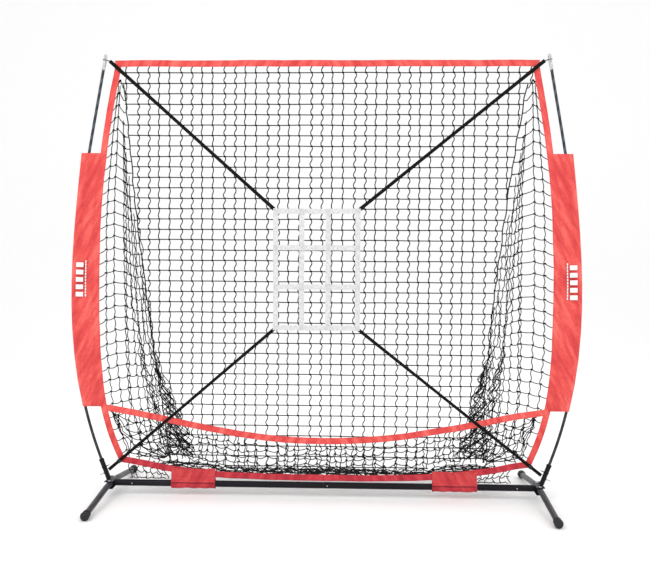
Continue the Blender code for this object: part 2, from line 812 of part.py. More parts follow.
def sleeve_outline(seam, middle, edge):
    """The sleeve's section at one height: round over the pole, thin at its seam and at its outer edge."""
    bulge = CHANNEL_RADIUS + CLOTH
    outline = []
    for angle in ring_angles():
        across, back = math.cos(angle), math.sin(angle)
        if across > 0.99:
            outline.append((edge, 0.0))
        elif across < -0.99:
            outline.append((seam, 0.0))
        elif across < -0.85:
            outline.append((seam, math.copysign(SLEEVE_EDGE, back)))
        elif across > 0.85:
            share = 0.45
            outline.append((middle + bulge * across + (edge - middle - bulge) * share, bulge * back))
        else:
            outline.append((middle + bulge * across, bulge * back))
    return outline


def bar_wraps(dark_red):
    """Cloth wraps that tie the net's foot to the bar: a loop round the bar with a flat tongue above it."""
    outer_radius = WRAP_BORE + CLOTH
    top = bottom_point(WRAP_X - WRAP_LENGTH / 2).z - BINDING_WIDTH / 2 - NET_CLEARANCE
    steps = 10
    low = BAR_Z - WRAP_HANG
    cup = [math.pi + math.pi * i / steps for i in range(steps + 1)]
    outline = [(outer_radius * math.cos(a), low + outer_radius * math.sin(a)) for a in cup]
    tongue = 0.003
    outline += [(outer_radius, BAR_Z + 0.004), (tongue, BAR_Z + 0.026), (tongue, top)]
    outline += [(-tongue, top), (-tongue, BAR_Z + 0.026), (-outer_radius, BAR_Z + 0.004)]
    hole = [(WRAP_BORE * math.cos(a), low + WRAP_BORE * math.sin(a)) for a in cup]
    dome = [math.pi * i / steps for i in range(1, steps)]
    hole += [(WRAP_BORE * math.cos(a), BAR_Z + WRAP_BORE * math.sin(a)) for a in dome]
    for name, side in SIDES.items():
        start, end = side * WRAP_X - WRAP_LENGTH / 2, side * WRAP_X + WRAP_LENGTH / 2
        rings = [[Vector((x, y, z)) for y, z in outline] for x in (start, end)]
        wrap = add_node(f"bar_wrap_{name}", solid_of_rings(f"bar_wrap_{name}", rings), dark_red)
        rings = [[Vector((x, y, z)) for y, z in hole] for x in (start - 0.01, end + 0.01)]
        boolean(wrap, add_tool(f"wrap_hole_{name}", solid_of_rings("wrap_hole", rings)))


def strike_zone(white):
    """A rectangle of webbing, with two uprights and two crossbars sewn on behind and before it."""
    front = ZONE_Y - WEBBING_THICKNESS / 2
    back = ZONE_Y + WEBBING_THICKNESS / 2
    half_width, half_height = ZONE_WIDTH / 2, ZONE_HEIGHT / 2
    frame = add_node(
        "strike_frame",
        box_mesh(
            "strike_frame",
            (ZONE_X - half_width, front, ZONE_Z - half_height),
            (ZONE_X + half_width, back, ZONE_Z + half_height),
        ),
        white,
    )
    window = box_mesh(
        "window",
        (ZONE_X - half_width + WEBBING, front - 0.01, ZONE_Z - half_height + WEBBING),
        (ZONE_X + half_width - WEBBING, back + 0.01, ZONE_Z + half_height - WEBBING),
    )
    boolean(frame, add_tool("strike_window", window))
    layer = WEBBING_THICKNESS + GAP
    for name, x in ZONE_UPRIGHTS.items():
        low = (ZONE_X + x - WEBBING / 2, front + layer, ZONE_Z - half_height + 0.002)
        high = (ZONE_X + x + WEBBING / 2, back + layer, ZONE_Z + half_height - 0.002)
        add_node(f"strike_upright_{name}", box_mesh(f"strike_upright_{name}", low, high), white)
    for name, z in ZONE_CROSSBARS.items():
        low = (ZONE_X - half_width + 0.002, front - layer, ZONE_Z + z - WEBBING / 2)
        high = (ZONE_X + half_width - 0.002, back - layer, ZONE_Z + z + WEBBING / 2)
        add_node(f"strike_crossbar_{name}", box_mesh(f"strike_crossbar_{name}", low, high), white)


def strap_ends(side, upper):
    """Where a strap starts, beside the strike zone's corner, and where it ends, beside its loop."""
    anchor = UPPER_ANCHOR if upper else LOWER_ANCHOR
    end = Vector((side * anchor.x, anchor.y, anchor.z))
    corner = Vector(
        (
            ZONE_X + side * (ZONE_WIDTH / 2 + GAP),
            ZONE_Y,
            ZONE_Z + (1 if upper else -1) * (ZONE_HEIGHT / 2 + GAP),
        )
    )
    away = (end - corner).normalized()
    return corner + away * (STRAP_WIDTH / 2), end


def straps(black, plastic):
    """Four elastic straps from the strike zone's corners, their loops, and a slider on each lower one."""
    back = Vector((0, 1, 0))
    for level, upper in (("upper", True), ("lower", False)):
        for name, side in SIDES.items():
            start, end = strap_ends(side, upper)
            away = (end - start).normalized()
            strip = rectangle(STRAP_THICKNESS, STRAP_WIDTH)
            path = [start, end - away * 0.004]
            add_node(f"strap_{level}_{name}", bar_along(f"strap_{level}_{name}", path, strip, back), black)
            add_corner_loop(f"corner_loop_{level}_{name}", side, upper, black)
            if not upper:
                add_slider(f"strap_slider_{name}", end - away * SLIDER_REST, away, plastic)


def add_slider(name, middle, away, plastic):
    """A flat ring that slides along its strap."""
    back = Vector((0, 1, 0))
    path = [away * (-SLIDER_LENGTH / 2), away * (SLIDER_LENGTH / 2)]
    inside = rectangle(STRAP_THICKNESS + 2 * GAP, STRAP_WIDTH + 2 * GAP)
    outside = rectangle(STRAP_THICKNESS + 2 * SLIDER_WALL, STRAP_WIDTH + 2 * SLIDER_WALL)
    rings = [swept_rings(path, section, back) for section in (outside, inside)]
    add_node(name, solid_of_rings(name, *rings), plastic, middle)


def spaced(start, end, steps):
    return [start + (end - start) * i / steps for i in range(steps + 1)]


def across_loop(inward, radius, angle):
    return inward * (radius * math.cos(angle)) + Vector((0, radius * math.sin(angle), 0))


def add_corner_loop(name, side, upper, cord):
    """A cord loop from a strap's end round the tip cap above, or round the pole's socket below."""
    if upper:
        up = leaning(-TIP_LEAN)
        hub = POLE_TIP - up * 0.018
        hold = POLE_RADIUS + GAP + TIP_CAP_WALL
    else:
        up = leaning(SOCKET_LEAN)
        hub = SOCKET_TOP - up * 0.038
        hold = SOCKET_RADIUS
    radius = hold + LOOP_CORD + 2 * GAP
    inward = Vector((-up.z, 0, up.x))
    far_radius = 0.0045
    anchor = UPPER_ANCHOR if upper else LOWER_ANCHOR
    length = (Vector((anchor.x, 0, anchor.z)) - hub).dot(inward) - 0.004
    # The cord runs straight between its two arcs, and leaves each where the straight touches it.
    touch = math.acos((radius - far_radius) / length)
    path = [hub + across_loop(inward, radius, a) for a in spaced(touch, math.tau - touch, 8)]
    path += [hub + inward * length + across_loop(inward, far_radius, a) for a in spaced(-touch, touch, 4)]
    add_node(name, closed_loop(name, mirrored(path, side), LOOP_CORD, 6), cord)


def main():
    clear_scene()
    black_steel = material("black_steel", (0.012, 0.012, 0.016), 0.35, 0.3)
    grey_steel = material("grey_steel", (0.045, 0.045, 0.055), 0.35, 0.3)
    zinc = material("zinc", (0.60, 0.60, 0.62), 0.3, 1.0)
    rubber = material("black_rubber", (0.015, 0.015, 0.018), 0.6)
    black_pole = material("black_pole", (0.012, 0.012, 0.014), 0.3)
    slate_pole = material("slate_pole", (0.060, 0.078, 0.100), 0.3)
    clear = material("pale_plastic", (0.75, 0.75, 0.76), 0.25)
    red = material("red_cloth", (0.80, 0.070, 0.065), 0.8)
    dark_red = material("dark_red_cloth", (0.60, 0.030, 0.045), 0.8)
    twine = material("twine", (0.010, 0.010, 0.011), 0.8)
    white = material("white_webbing", (0.85, 0.85, 0.85), 0.8)
    elastic = material("black_elastic", (0.012, 0.012, 0.012), 0.8)
    plastic = material("black_plastic", (0.015, 0.015, 0.015), 0.4)

    holes = button_tools()
    cross_bars(black_steel, holes)
    hubs(black_steel, holes)
    legs(grey_steel, rubber, zinc)
    snap_buttons(zinc)
    lock_holes = {name: lock_tools(side, name) for name, side in SIDES.items()}
    sockets_and_pins(black_steel, zinc, lock_holes)
    poles(black_pole, slate_pole, zinc, clear, lock_holes)
    bindings(red, dark_red)
    nets(twine)
    sleeves(red)
    bar_wraps(dark_red)
    strike_zone(white)
    straps(elastic, plastic)


main()
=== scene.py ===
"""The looks of a pitching target net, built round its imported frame, in metres and in the frame's own axes."""

import math

import bpy
import numpy as np
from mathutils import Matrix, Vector


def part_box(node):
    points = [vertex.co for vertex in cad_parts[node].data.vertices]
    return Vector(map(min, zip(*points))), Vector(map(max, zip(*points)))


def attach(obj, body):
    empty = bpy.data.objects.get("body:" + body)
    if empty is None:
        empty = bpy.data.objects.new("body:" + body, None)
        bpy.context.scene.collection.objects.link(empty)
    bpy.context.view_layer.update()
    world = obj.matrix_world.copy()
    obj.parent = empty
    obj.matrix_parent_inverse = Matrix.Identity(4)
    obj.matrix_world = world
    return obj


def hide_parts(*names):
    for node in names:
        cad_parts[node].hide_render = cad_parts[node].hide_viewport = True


ROOT = "frame_and_net"
SIDES = {"left": -1, "right": 1}
ENDS = ("front", "rear")
ACROSS, BACK, UP = np.eye(3)

# Camera
CAMERA = (0.150, -4.330, 1.193)
TARGET = (0.003, 0.0, 1.014)
ROLL = math.radians(0.33)
LENS = 49.5

# Steel and poles
BAR_GAP = 0.0004  # between the left tube's end and the right one's
SPIGOT = 0.030  # how far the right tube is swaged round the spigot
SOCKET_RADIUS = 0.0115
POLE_RADIUS = 0.0070
TIP_RADIUS = 0.0089
FOOT_COLLAR = 0.0178
COLLAR_RIB = 0.0007
BUTTON_RADIUS = 0.0032

# Cloth and webbing
CLOTH = 0.0008  # thickness
WRAP_CLOTH = 0.0010
FLAP_CLOTH = 0.0016
LOOP_HEIGHT = 0.056  # the middle of a wrap's loop, just below the bar's own
TAPE_WIDTH = 0.031
TAPE_THICKNESS = 0.0036
CREASE_SLANT = math.radians(27)
STITCH_LIFT = 0.0004  # how far stitches stand off the cloth
WEBBING_WIDTH = 0.025
STRAP_WIDTH = 0.0178
ELASTIC_THICKNESS = 0.0018
ELASTIC_PLY = 0.0021  # from one layer of a folded strap to the next

# Netting
TWINE = 0.0028  # radius
SLACK_TWINE = 0.0023  # where the netting is not pulled tight
KNOT = 0.0049
COLUMN_PITCH = 0.0500
WIDER_GAP = 0.0100  # added to every fourth gap between columns
FIRST_COLUMN = 0.034
ROW_PITCH = 0.0503
ROWS = 41
FIRST_ROW = 0.039  # below the net's top edge
SWING = 0.0052  # sideways swing of a twine between two knots
SIDE_ROW_PITCH = 0.0577
POCKET_PITCH = 0.0485
SEAM_BOW = 0.020  # how far the seams curve outwards
SEAM_ROPE = 0.0030  # radius
RIGHT_PULL = 0.070  # how far the slack right panel pulls its seam in
SIDE_START = 0.100  # from the net's top edge down to where the side panels start
# The heights where a side panel's columns end, from its binding to its seam, as the panel narrows
COLUMN_TOPS = (2.2, 2.2, 2.2, 1.85, 1.78, 1.70, 1.58, 1.48, 1.40, 1.20, 1.00, 2.2)
OPEN_COLUMNS = 6  # the side panel's columns that hang straight, before its fold
FOOT_SHARE = 0.84  # the share of the back net's width over which its foot's height is read
FLOOR_HALF = 0.84  # half the width of the part of the pocket's floor that lies flat
EYE = np.array([0.15, 0.0, 1.19])  # the mesh opens out from here, so that it looks even from the front
VIEW_DISTANCE = 4.33

MARGIN = 1e-4  # keeps a section just inside the ends of its node


# Reading the frame


def xyz(x, y, z):
    """Points from their coordinates, any of which may be one number for all of them."""
    return np.stack(np.broadcast_arrays(x, y, z), axis=-1).astype(float)


def outline(node, cache={}):
    """A CAD node's points and edges, as arrays."""
    if node not in cache:
        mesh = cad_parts[node].data
        points = np.empty(len(mesh.vertices) * 3)
        mesh.vertices.foreach_get("co", points)
        edges = np.empty(len(mesh.edges) * 2, dtype=np.int32)
        mesh.edges.foreach_get("vertices", edges)
        cache[node] = points.reshape(-1, 3), edges.reshape(-1, 2)
    return cache[node]


def cut(node, axis, at):
    """The lowest and highest corners of a CAD node's section across an axis."""
    points, edges = outline(node)
    start, end = points[edges[:, 0]], points[edges[:, 1]]
    span = end[:, axis] - start[:, axis]
    crossing = ((start[:, axis] - at) * (end[:, axis] - at) <= 0) & (np.abs(span) > 1e-7)
    share = (at - start[crossing, axis]) / span[crossing]
    hits = start[crossing] + (end - start)[crossing] * share[:, None]
    return hits.min(axis=0), hits.max(axis=0)


def middle_line(node, axis, count, inset=0.0):
    """Points along the middle of a long CAD node, smoothed, from its low end to its high end."""
    low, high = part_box(node)
    stations = np.linspace(low[axis] + inset + MARGIN, high[axis] - inset - MARGIN, count)
    line = np.array([np.add(*cut(node, axis, at)) / 2 for at in stations])
    for _ in range(3):
        line[1:-1] = (line[:-2] + 2 * line[1:-1] + line[2:]) / 4
    if inset:
        reach = inset / (stations[1] - stations[0])
        first = line[0] - (line[1] - line[0]) * reach
        last = line[-1] + (line[-1] - line[-2]) * reach
        line = np.vstack([first, line, last])
    return line


# Shapes: each is (points, faces, one UV pair for each face corner), and UVs are in metres


def unit(vectors):
    """The same directions, one metre long."""
    return vectors / np.linalg.norm(vectors, axis=-1, keepdims=True)


def headings(path):
    """The direction of travel at each point of a path."""
    return unit(np.vstack([path[1:], path[-1:]]) - np.vstack([path[:1], path[:-1]]))


def lengths(path):
    """The distance along a path to each of its points."""
    steps = np.linalg.norm(np.diff(path, axis=0), axis=1)
    return np.concatenate([[0.0], np.cumsum(steps)])


def round_lengths(ring):
    """The distance round a closed ring to each of its points, and back to the first."""
    return lengths(np.vstack([ring, ring[:1]]))


def resample(path, spacing):
    """The same path with evenly spaced points."""
    run = lengths(path)
    stops = np.linspace(0, run[-1], max(2, round(run[-1] / spacing) + 1))
    return np.stack([np.interp(stops, run, path[:, k]) for k in range(3)], axis=1)


def circle(radius, sides):
    """The section of a round rod."""
    angles = np.arange(sides) * math.tau / sides
    return np.stack([np.cos(angles), np.sin(angles)], axis=1) * radius


def strip(width, thickness, steps=6):
    """The section of a flat strip with round edges, as (through, across) pairs."""
    half, radius = (width - thickness) / 2, thickness / 2
    turn = np.linspace(0, math.pi, 5)[1:-1]
    side = [(radius, x) for x in np.linspace(-half, half, steps + 1)]
    side += [(radius * math.cos(a), half + radius * math.sin(a)) for a in turn]
    return np.vstack([side, np.negative(side)])


def grid_faces(rows, columns, wrap_columns=True):
    """The quads between the rows of points of a grid, and each corner's row and column."""
    across = np.arange(columns if wrap_columns else columns - 1)
    i, j = np.meshgrid(np.arange(rows - 1), across, indexing="ij")
    row = np.stack([i, i, i + 1, i + 1], axis=-1).reshape(-1, 4)
    column = np.stack([j, j + 1, j + 1, j], axis=-1).reshape(-1, 4)
    return (row * columns + column % columns).tolist(), row, column


def uv_pairs(along, around):
    """The UVs of the corners of a grid's faces."""
    return np.stack([along, around], axis=-1).reshape(-1, 2)


def capped(points, faces, corners, end):
    """A tube with a flat face over each end, whose UVs are the end's own section."""
    sides, count = len(end), len(points)
    ends = [list(range(sides))[::-1], list(range(count - sides, count))]
    return points, faces + ends, np.vstack([corners, end, end])


def sweep(path, section, up, scale=None):
    """A section carried along a path. Its first coordinate goes up and its second sideways."""
    path = np.asarray(path, float)
    section = np.asarray(section, float)
    along = headings(path)
    side = unit(np.cross(along, up))
    normal = np.cross(side, along)
    size = np.ones(len(path)) if scale is None else np.asarray(scale, float)
    ring = normal[:, None] * section[None, :, :1] + side[:, None] * section[None, :, 1:]
    points = (path[:, None] + ring * size[:, None, None]).reshape(-1, 3)
    faces, row, column = grid_faces(len(path), len(section))
    corners = uv_pairs(lengths(path)[row], round_lengths(section)[column])
    return capped(points, faces, corners, section)


def turned(profile, axis, start, sides=32):
    """A body of revolution. Its profile is (distance along the axis, radius) pairs."""
    axis = unit(np.asarray(axis, float))
    reach, radii = np.array(profile).T
    radii = np.maximum(radii, 1e-5)
    side = unit(np.cross(axis, BACK if abs(axis @ BACK) < 0.9 else UP))
    normal = np.cross(side, axis)
    ring = circle(1.0, sides)
    around = normal * ring[:, :1] + side * ring[:, 1:]
    points = (start + axis * reach[:, None])[:, None] + around[None] * radii[:, None, None]
    faces, row, column = grid_faces(len(profile), sides)
    girth = math.tau * radii.max() / sides
    corners = uv_pairs(lengths(np.stack([reach, radii], axis=1))[row], column * girth)
    return capped(points.reshape(-1, 3), faces, corners, ring * radii[0])


def flatten_below(shape, height):
    """Presses flat whatever part of a shape is below a height."""
    points = shape[0]
    points[:, 2] = np.maximum(points[:, 2], height)


def joined(shapes):
    """Several shapes as one."""
    points, faces, corners, offset = [], [], [], 0
    for shape_points, shape_faces, shape_corners in shapes:
        points.append(shape_points)
        faces.extend([[index + offset for index in face] for face in shape_faces])
        corners.append(shape_corners)
        offset += len(shape_points)
    return np.vstack(points), faces, np.vstack(corners)


def copies(shape, places, along, normal):
    """The shape at each place, with its X turned along and its Z turned to the normal there."""
    points, faces, corners = shape
    side = np.cross(normal, along)
    placed = (
        places[:, None]
        + along[:, None] * points[None, :, :1]
        + side[:, None] * points[None, :, 1:2]
        + normal[:, None] * points[None, :, 2:]
    )
    offsets = range(0, len(places) * len(points), len(points))
    index = [[i + offset for i in face] for offset in offsets for face in faces]
    return placed.reshape(-1, 3), index, np.tile(corners, (len(places), 1))


def ripple(points, size, seed):
    """Smooth irregular waves of about the given size, from -1 to 1, and the same each run."""
    random = np.random.default_rng(seed)
    directions = unit(random.normal(size=(7, 3)))
    rates = math.tau / size * random.uniform(0.55, 1.35, 7)
    phases = random.uniform(0, math.tau, 7)
    return np.tanh(np.sin(points @ (directions * rates[:, None]).T + phases).sum(axis=1) * 0.55)


def add_object(name, data):
    """A new object in the scene."""
    made = bpy.data.objects.new(name, data)
    bpy.context.scene.collection.objects.link(made)
    return made


def smooth_mesh(name, points, faces, finish):
    """A new mesh with smooth shading and one material."""
    mesh = bpy.data.meshes.new(name)
    mesh.from_pydata(points.tolist(), [], faces)
    mesh.materials.append(finish)
    mesh.shade_smooth()
    return mesh


def piece(name, shape, finish, body=ROOT, replaces=(), smooth_angle=40):
    """The shape as a piece of the object, which rides on a body and stands for CAD nodes."""
    points, faces, corners = shape
    mesh = smooth_mesh(name, points, faces, finish)
    layer = mesh.uv_layers.new(name="metres")
    layer.data.foreach_set("uv", corners.astype(np.float32).ravel())
    mesh.set_sharp_from_angle(angle=math.radians(smooth_angle))
    made = add_object(name, mesh)
    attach(made, body)
    if replaces:
        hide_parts(*replaces)
    return made


def thicken(made, thickness, offset):
    """Gives a sheet its thickness: inwards with an offset of -1, and to both sides with 0."""
    layer = made.modifiers.new("cloth", "SOLIDIFY")
    layer.thickness = thickness
    layer.offset = offset


# Materials


class Finish:
    """A Principled material, and the nodes that vary it over the surface."""

    def __init__(self, name, colour, roughness, metallic=0.0, **sockets):
        self.material = bpy.data.materials.new(name)
        self.material.use_nodes = True
        self.tree = self.material.node_tree
        self.shader = self.tree.nodes["Principled BSDF"]
        self.shader.inputs["Base Color"].default_value = (*colour, 1.0)
        self.shader.inputs["Roughness"].default_value = roughness
        self.shader.inputs["Metallic"].default_value = metallic
        for socket, value in sockets.items():
            self.shader.inputs[socket.replace("_", " ")].default_value = value
        self.places = self.node("ShaderNodeTexCoord")

    def node(self, kind, **inputs):
        made = self.tree.nodes.new(kind)
        for socket, value in inputs.items():
            self.feed(made.inputs[socket.replace("_", " ")], value)
        return made

    def feed(self, socket, value):
        if isinstance(value, bpy.types.NodeSocket):
            self.tree.links.new(value, socket)
        else:
            socket.default_value = value

    def mirrored(self):
        """Places whose X is the distance from the object's middle."""
        parts = self.node("ShaderNodeSeparateXYZ", Vector=self.places.outputs["Object"])
        across = self.maths("ABSOLUTE", parts.outputs["X"], 0.0)
        made = self.node("ShaderNodeCombineXYZ", X=across, Y=parts.outputs["Y"], Z=parts.outputs["Z"])
        return made.outputs["Vector"]

    def mapped(self, source, scale=(1, 1, 1), turn=(0, 0, 0)):
        """Places turned first and then scaled, so that a pattern can be drawn out along any slant."""
        places = self.mirrored() if source == "Mirrored" else self.places.outputs[source]
        turned_places = self.node("ShaderNodeMapping", Vector=places, Rotation=turn).outputs["Vector"]
        return self.node("ShaderNodeMapping", Vector=turned_places, Scale=scale).outputs["Vector"]

    def noise(self, size, source="Object", detail=3.0, scale=(1, 1, 1), turn=(0, 0, 0)):
        """Noise whose lumps are about the given size, from 0 to 1."""
        place = self.mapped(source, scale, turn)
        return self.node("ShaderNodeTexNoise", Vector=place, Scale=1 / size, Detail=detail).outputs["Fac"]

    def bands(self, period, source="UV", turn=(0, 0, 0), distortion=0.0):
        """Straight bands across the turned X axis, one each period."""
        place = self.mapped(source, turn=turn)
        scale = math.tau / 20 / period
        return self.node("ShaderNodeTexWave", Vector=place, Scale=scale, Distortion=distortion).outputs["Fac"]

    def maths(self, operation, first, second):
        made = self.node("ShaderNodeMath")
        made.operation = operation
        self.feed(made.inputs[0], first)
        self.feed(made.inputs[1], second)
        return made.outputs[0]

    def mixed(self, first, second, share):
        """Two factors added, with the given share of the first and the rest of the second."""
        rest = self.maths("MULTIPLY", second, 1 - share)
        return self.maths("ADD", self.maths("MULTIPLY", first, share), rest)

    def ramp(self, factor, stops):
        """A factor turned into a colour by (place, colour) stops."""
        made = self.node("ShaderNodeValToRGB", Fac=factor)
        points = made.color_ramp.elements
        for spot, (place, colour) in zip(points, (stops[0], stops[-1])):
            spot.position = place
            spot.color = (*colour, 1.0)
        for place, colour in stops[1:-1]:
            points.new(place).color = (*colour, 1.0)
        return made.outputs["Color"]

    def spread(self, factor, low, high):
        return self.node("ShaderNodeMapRange", Value=factor, To_Min=low, To_Max=high).outputs["Result"]

    def colour(self, factor, stops):
        self.feed(self.shader.inputs["Base Color"], self.ramp(factor, stops))

    def roughness(self, factor, low, high):
        self.feed(self.shader.inputs["Roughness"], self.spread(factor, low, high))

    def bump(self, height, distance, strength=1.0):
        """Adds relief on top of what the material has."""
        made = self.node("ShaderNodeBump", Height=height, Distance=distance, Strength=strength)
        socket = self.shader.inputs["Normal"]
        if socket.links:
            self.tree.links.new(socket.links[0].from_socket, made.inputs["Normal"])
        self.tree.links.new(made.outputs["Normal"], socket)


def shade(colour, share):
    """A colour made darker or lighter."""
    return tuple(channel * share for channel in colour)


def powder_coat(name, colour, shine):
    """Satin powder coat: an orange-peel surface, with faint dust and rubbed streaks."""
    made = Finish(name, colour, 0.38, Specular_IOR_Level=shine)
    rubbed = made.noise(0.05, detail=5, scale=(0.35, 1, 1))
    made.colour(rubbed, [(0.3, shade(colour, 0.8)), (0.6, colour), (0.85, shade(colour, 1.9))])
    made.roughness(made.noise(0.03), 0.26, 0.48)
    made.bump(made.noise(0.0016, detail=2), 0.00006)
    return made.material


def zinc_plate():
    """Bright zinc with brushed streaks."""
    colour = (0.60, 0.60, 0.62)
    made = Finish("zinc_plate", colour, 0.3, metallic=1.0)
    streaks = made.noise(0.004, detail=4, scale=(0.2, 1, 1))
    made.colour(streaks, [(0.25, shade(colour, 0.7)), (0.75, shade(colour, 1.2))])
    made.roughness(streaks, 0.20, 0.42)
    made.bump(made.noise(0.001), 0.00003)
    return made.material


def rubber():
    """Matt moulded rubber, scuffed paler where it rubs."""
    colour = (0.016, 0.016, 0.019)
    made = Finish("moulded_rubber", colour, 0.65, Specular_IOR_Level=0.3)
    scuffs = made.noise(0.007, detail=6)
    made.colour(scuffs, [(0.45, colour), (0.8, shade(colour, 2.6))])
    made.roughness(scuffs, 0.5, 0.85)
    made.bump(made.noise(0.0009), 0.00008)
    return made.material


def glass_fibre(name, colour, streak):
    """A pultruded rod: a smooth skin with fine streaks wound round it."""
    made = Finish(name, colour, 0.28, Specular_IOR_Level=0.4)
    wound = made.bands(0.034, turn=(0, 0, math.radians(52)), distortion=3.0)
    grain = made.noise(0.004, source="UV", detail=4, scale=(0.12, 1, 1))
    made.colour(made.maths("MULTIPLY", wound, grain), [(0.2, colour), (0.55, streak)])
    made.roughness(grain, 0.2, 0.4)
    made.bump(grain, 0.00004)
    return made.material


def pale_plastic():
    """A pale moulded cap, a little see-through and clouded."""
    colour = (0.56, 0.56, 0.58)
    made = Finish("pale_plastic", colour, 0.25, Transmission_Weight=0.12, IOR=1.45)
    cloud = made.noise(0.006, detail=4)
    made.colour(cloud, [(0.35, shade(colour, 0.62)), (0.65, (0.78, 0.78, 0.80))])
    made.roughness(cloud, 0.18, 0.40)
    made.bump(made.noise(0.002), 0.0001)
    return made.material


def black_plastic():
    """Moulded plastic with a fine matt grain."""
    colour = (0.014, 0.014, 0.015)
    made = Finish("black_plastic", colour, 0.45, Specular_IOR_Level=0.25)
    made.colour(made.noise(0.003, detail=5), [(0.4, colour), (0.85, shade(colour, 2.2))])
    made.roughness(made.noise(0.005), 0.35, 0.55)
    made.bump(made.noise(0.0007), 0.00005)
    return made.material


def woven_cloth(name, colour, light, dark):
    """Coated polyester cloth: a fine plain weave and soft slanting creases, with painted shade (dark) in their
    hollows and painted highlight (light) on their ridges.
    """
    made = Finish(name, colour, 0.72, Specular_IOR_Level=0.3, Sheen_Weight=0.06, Sheen_Roughness=0.4)
    creases = made.noise(0.032, source="Mirrored", scale=(1, 1, 0.2), turn=(0, CREASE_SLANT, 0))
    mottle = made.noise(0.010, detail=5)
    # The crease noise paints shade into the creases and highlight onto their ridges; the mottle adds random
    # tone.
    made.colour(made.mixed(creases, mottle, 0.8), [(0.36, dark), (0.50, colour), (0.64, light)])
    made.roughness(mottle, 0.6, 0.82)
    warp = made.bands(0.0011)
    weft = made.bands(0.0011, turn=(0, 0, math.radians(90)))
    made.bump(made.maths("MULTIPLY", warp, weft), 0.00016)
    made.bump(creases, 0.0022, 0.6)
    return made.material


def webbing(name, colour, rib, relief, shine, edge):
    """Ribbed webbing: ribs across it, yarns along it, and painted shade darkening both edges, at 0 and at edge
    in its UVs.
    """
    made = Finish(name, colour, 0.75, Specular_IOR_Level=shine)
    ribs = made.bands(rib)
    yarns = made.bands(rib * 1.4, turn=(0, 0, math.radians(90)))
    weave = made.maths("MULTIPLY", ribs, yarns)
    soil = made.noise(0.012, detail=5)
    across = made.node("ShaderNodeSeparateXYZ", Vector=made.places.outputs["UV"]).outputs["Y"]
    from_far_edge = made.maths("ABSOLUTE", made.maths("SUBTRACT", across, edge), 0.0)
    inwards = made.maths("MINIMUM", across, from_far_edge)
    # Painted shade: the strip darkens towards both edges, where its rounded sides turn away from the light.
    painted_edge_shade = made.maths("MINIMUM", made.maths("DIVIDE", inwards, 0.0022), 1.0)
    tone = made.maths("MULTIPLY", made.mixed(weave, soil, 0.55), made.mixed(painted_edge_shade, 1.0, 0.75))
    made.colour(tone, [(0.1, shade(colour, 0.42)), (0.4, colour), (0.8, shade(colour, 1.05))])
    made.roughness(soil, 0.62, 0.86)
    made.bump(weave, relief)
    return made.material


def twisted_twine():
    """Tarred polyethylene twine, its strands twisted."""
    colour = (0.005, 0.005, 0.006)
    made = Finish("twisted_twine", colour, 0.7, Specular_IOR_Level=0.15)
    strands = made.bands(0.0018, turn=(0, 0, math.radians(35)))
    made.colour(strands, [(0.2, shade(colour, 0.6)), (0.9, shade(colour, 2.0))])
    made.roughness(made.noise(0.01), 0.5, 0.75)
    made.bump(strands, 0.0003)
    return made.material


def thread(name, colour):
    """Sewing thread with a visible twist."""
    made = Finish(name, colour, 0.6)
    twist = made.bands(0.0008, turn=(0, 0, math.radians(40)))
    made.colour(twist, [(0.2, shade(colour, 0.7)), (0.9, colour)])
    made.roughness(twist, 0.45, 0.65)
    made.bump(twist, 0.0001)
    return made.material


def print_white():
    """Plain white screen print, thin enough for the weave to show."""
    colour = (0.86, 0.86, 0.85)
    made = Finish("plain_print", colour, 0.6)
    worn = made.noise(0.004, detail=6)
    made.colour(worn, [(0.2, shade(colour, 0.86)), (0.6, colour)])
    made.roughness(worn, 0.5, 0.7)
    made.bump(made.bands(0.0011), 0.0001)
    return made.material


# Stitching and cord


def stitches(name, lines, finish, slot, length=0.0042, pitch=0.0062, radius=0.00042):
    """Rows of stitches along lines, lying on a face that looks forwards."""
    run = np.linspace(-0.5, 0.5, 5)
    hump = radius * (np.cos(run * math.pi) - 0.6)
    one = sweep(xyz(run * length, 0, hump), circle(radius, 5), UP, scale=[0.5, 1, 1, 1, 0.5])
    rows = []
    for line in lines:
        spots = resample(np.asarray(line, float), pitch)
        along = headings(spots)
        out = unit(along * (along @ BACK)[:, None] - BACK)
        rows.append(copies(one, spots, along, out))
    piece(name, joined(rows), finish)


# Base


def carried_over(node, finish):
    """A CAD node that stays, with a better material."""
    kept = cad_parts[node]
    kept.data.materials.clear()
    kept.data.materials.append(finish)
    return kept


def cross_bars(steel):
    """Two smooth tubes. The right half's mouth is swaged where the left half's spigot goes in."""
    for name in SIDES:
        node = f"cross_bar_{name}"
        low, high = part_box(node)
        radius = (high[2] - low[2]) / 2
        height = (high[2] + low[2]) / 2
        swaged = name == "right"
        start = low[0]
        end = high[0] if swaged else -BAR_GAP
        mouth = 0.0 if swaged else end
        rings = np.clip([mouth - 0.002, mouth + SPIGOT, mouth + SPIGOT + 0.004], start, end)
        stops = np.unique([*rings, *np.linspace(start, end, 24)])
        swell = np.where(swaged & (stops < SPIGOT + 0.001), 1.03, 1.0)
        shape = sweep(xyz(stops, 0, height), circle(radius, 40), BACK, swell)
        piece(f"tube_{node}", shape, steel, replaces=[node])


def legs(coat, tyre):
    """Each leg as a smooth bent tube with a pressed tail, and its round foot cap."""
    for end in ENDS:
        for name in SIDES:
            node = f"leg_{end}_{name}"
            low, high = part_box(node)
            line = middle_line(node, 1, 40, inset=0.008)
            radius = (high[0] - low[0]) / 2
            shape = sweep(line, circle(radius, 36), ACROSS)
            piece(f"tube_{node}", shape, coat, body=node, replaces=[node])
            foot_cap(end, name, line, tyre)


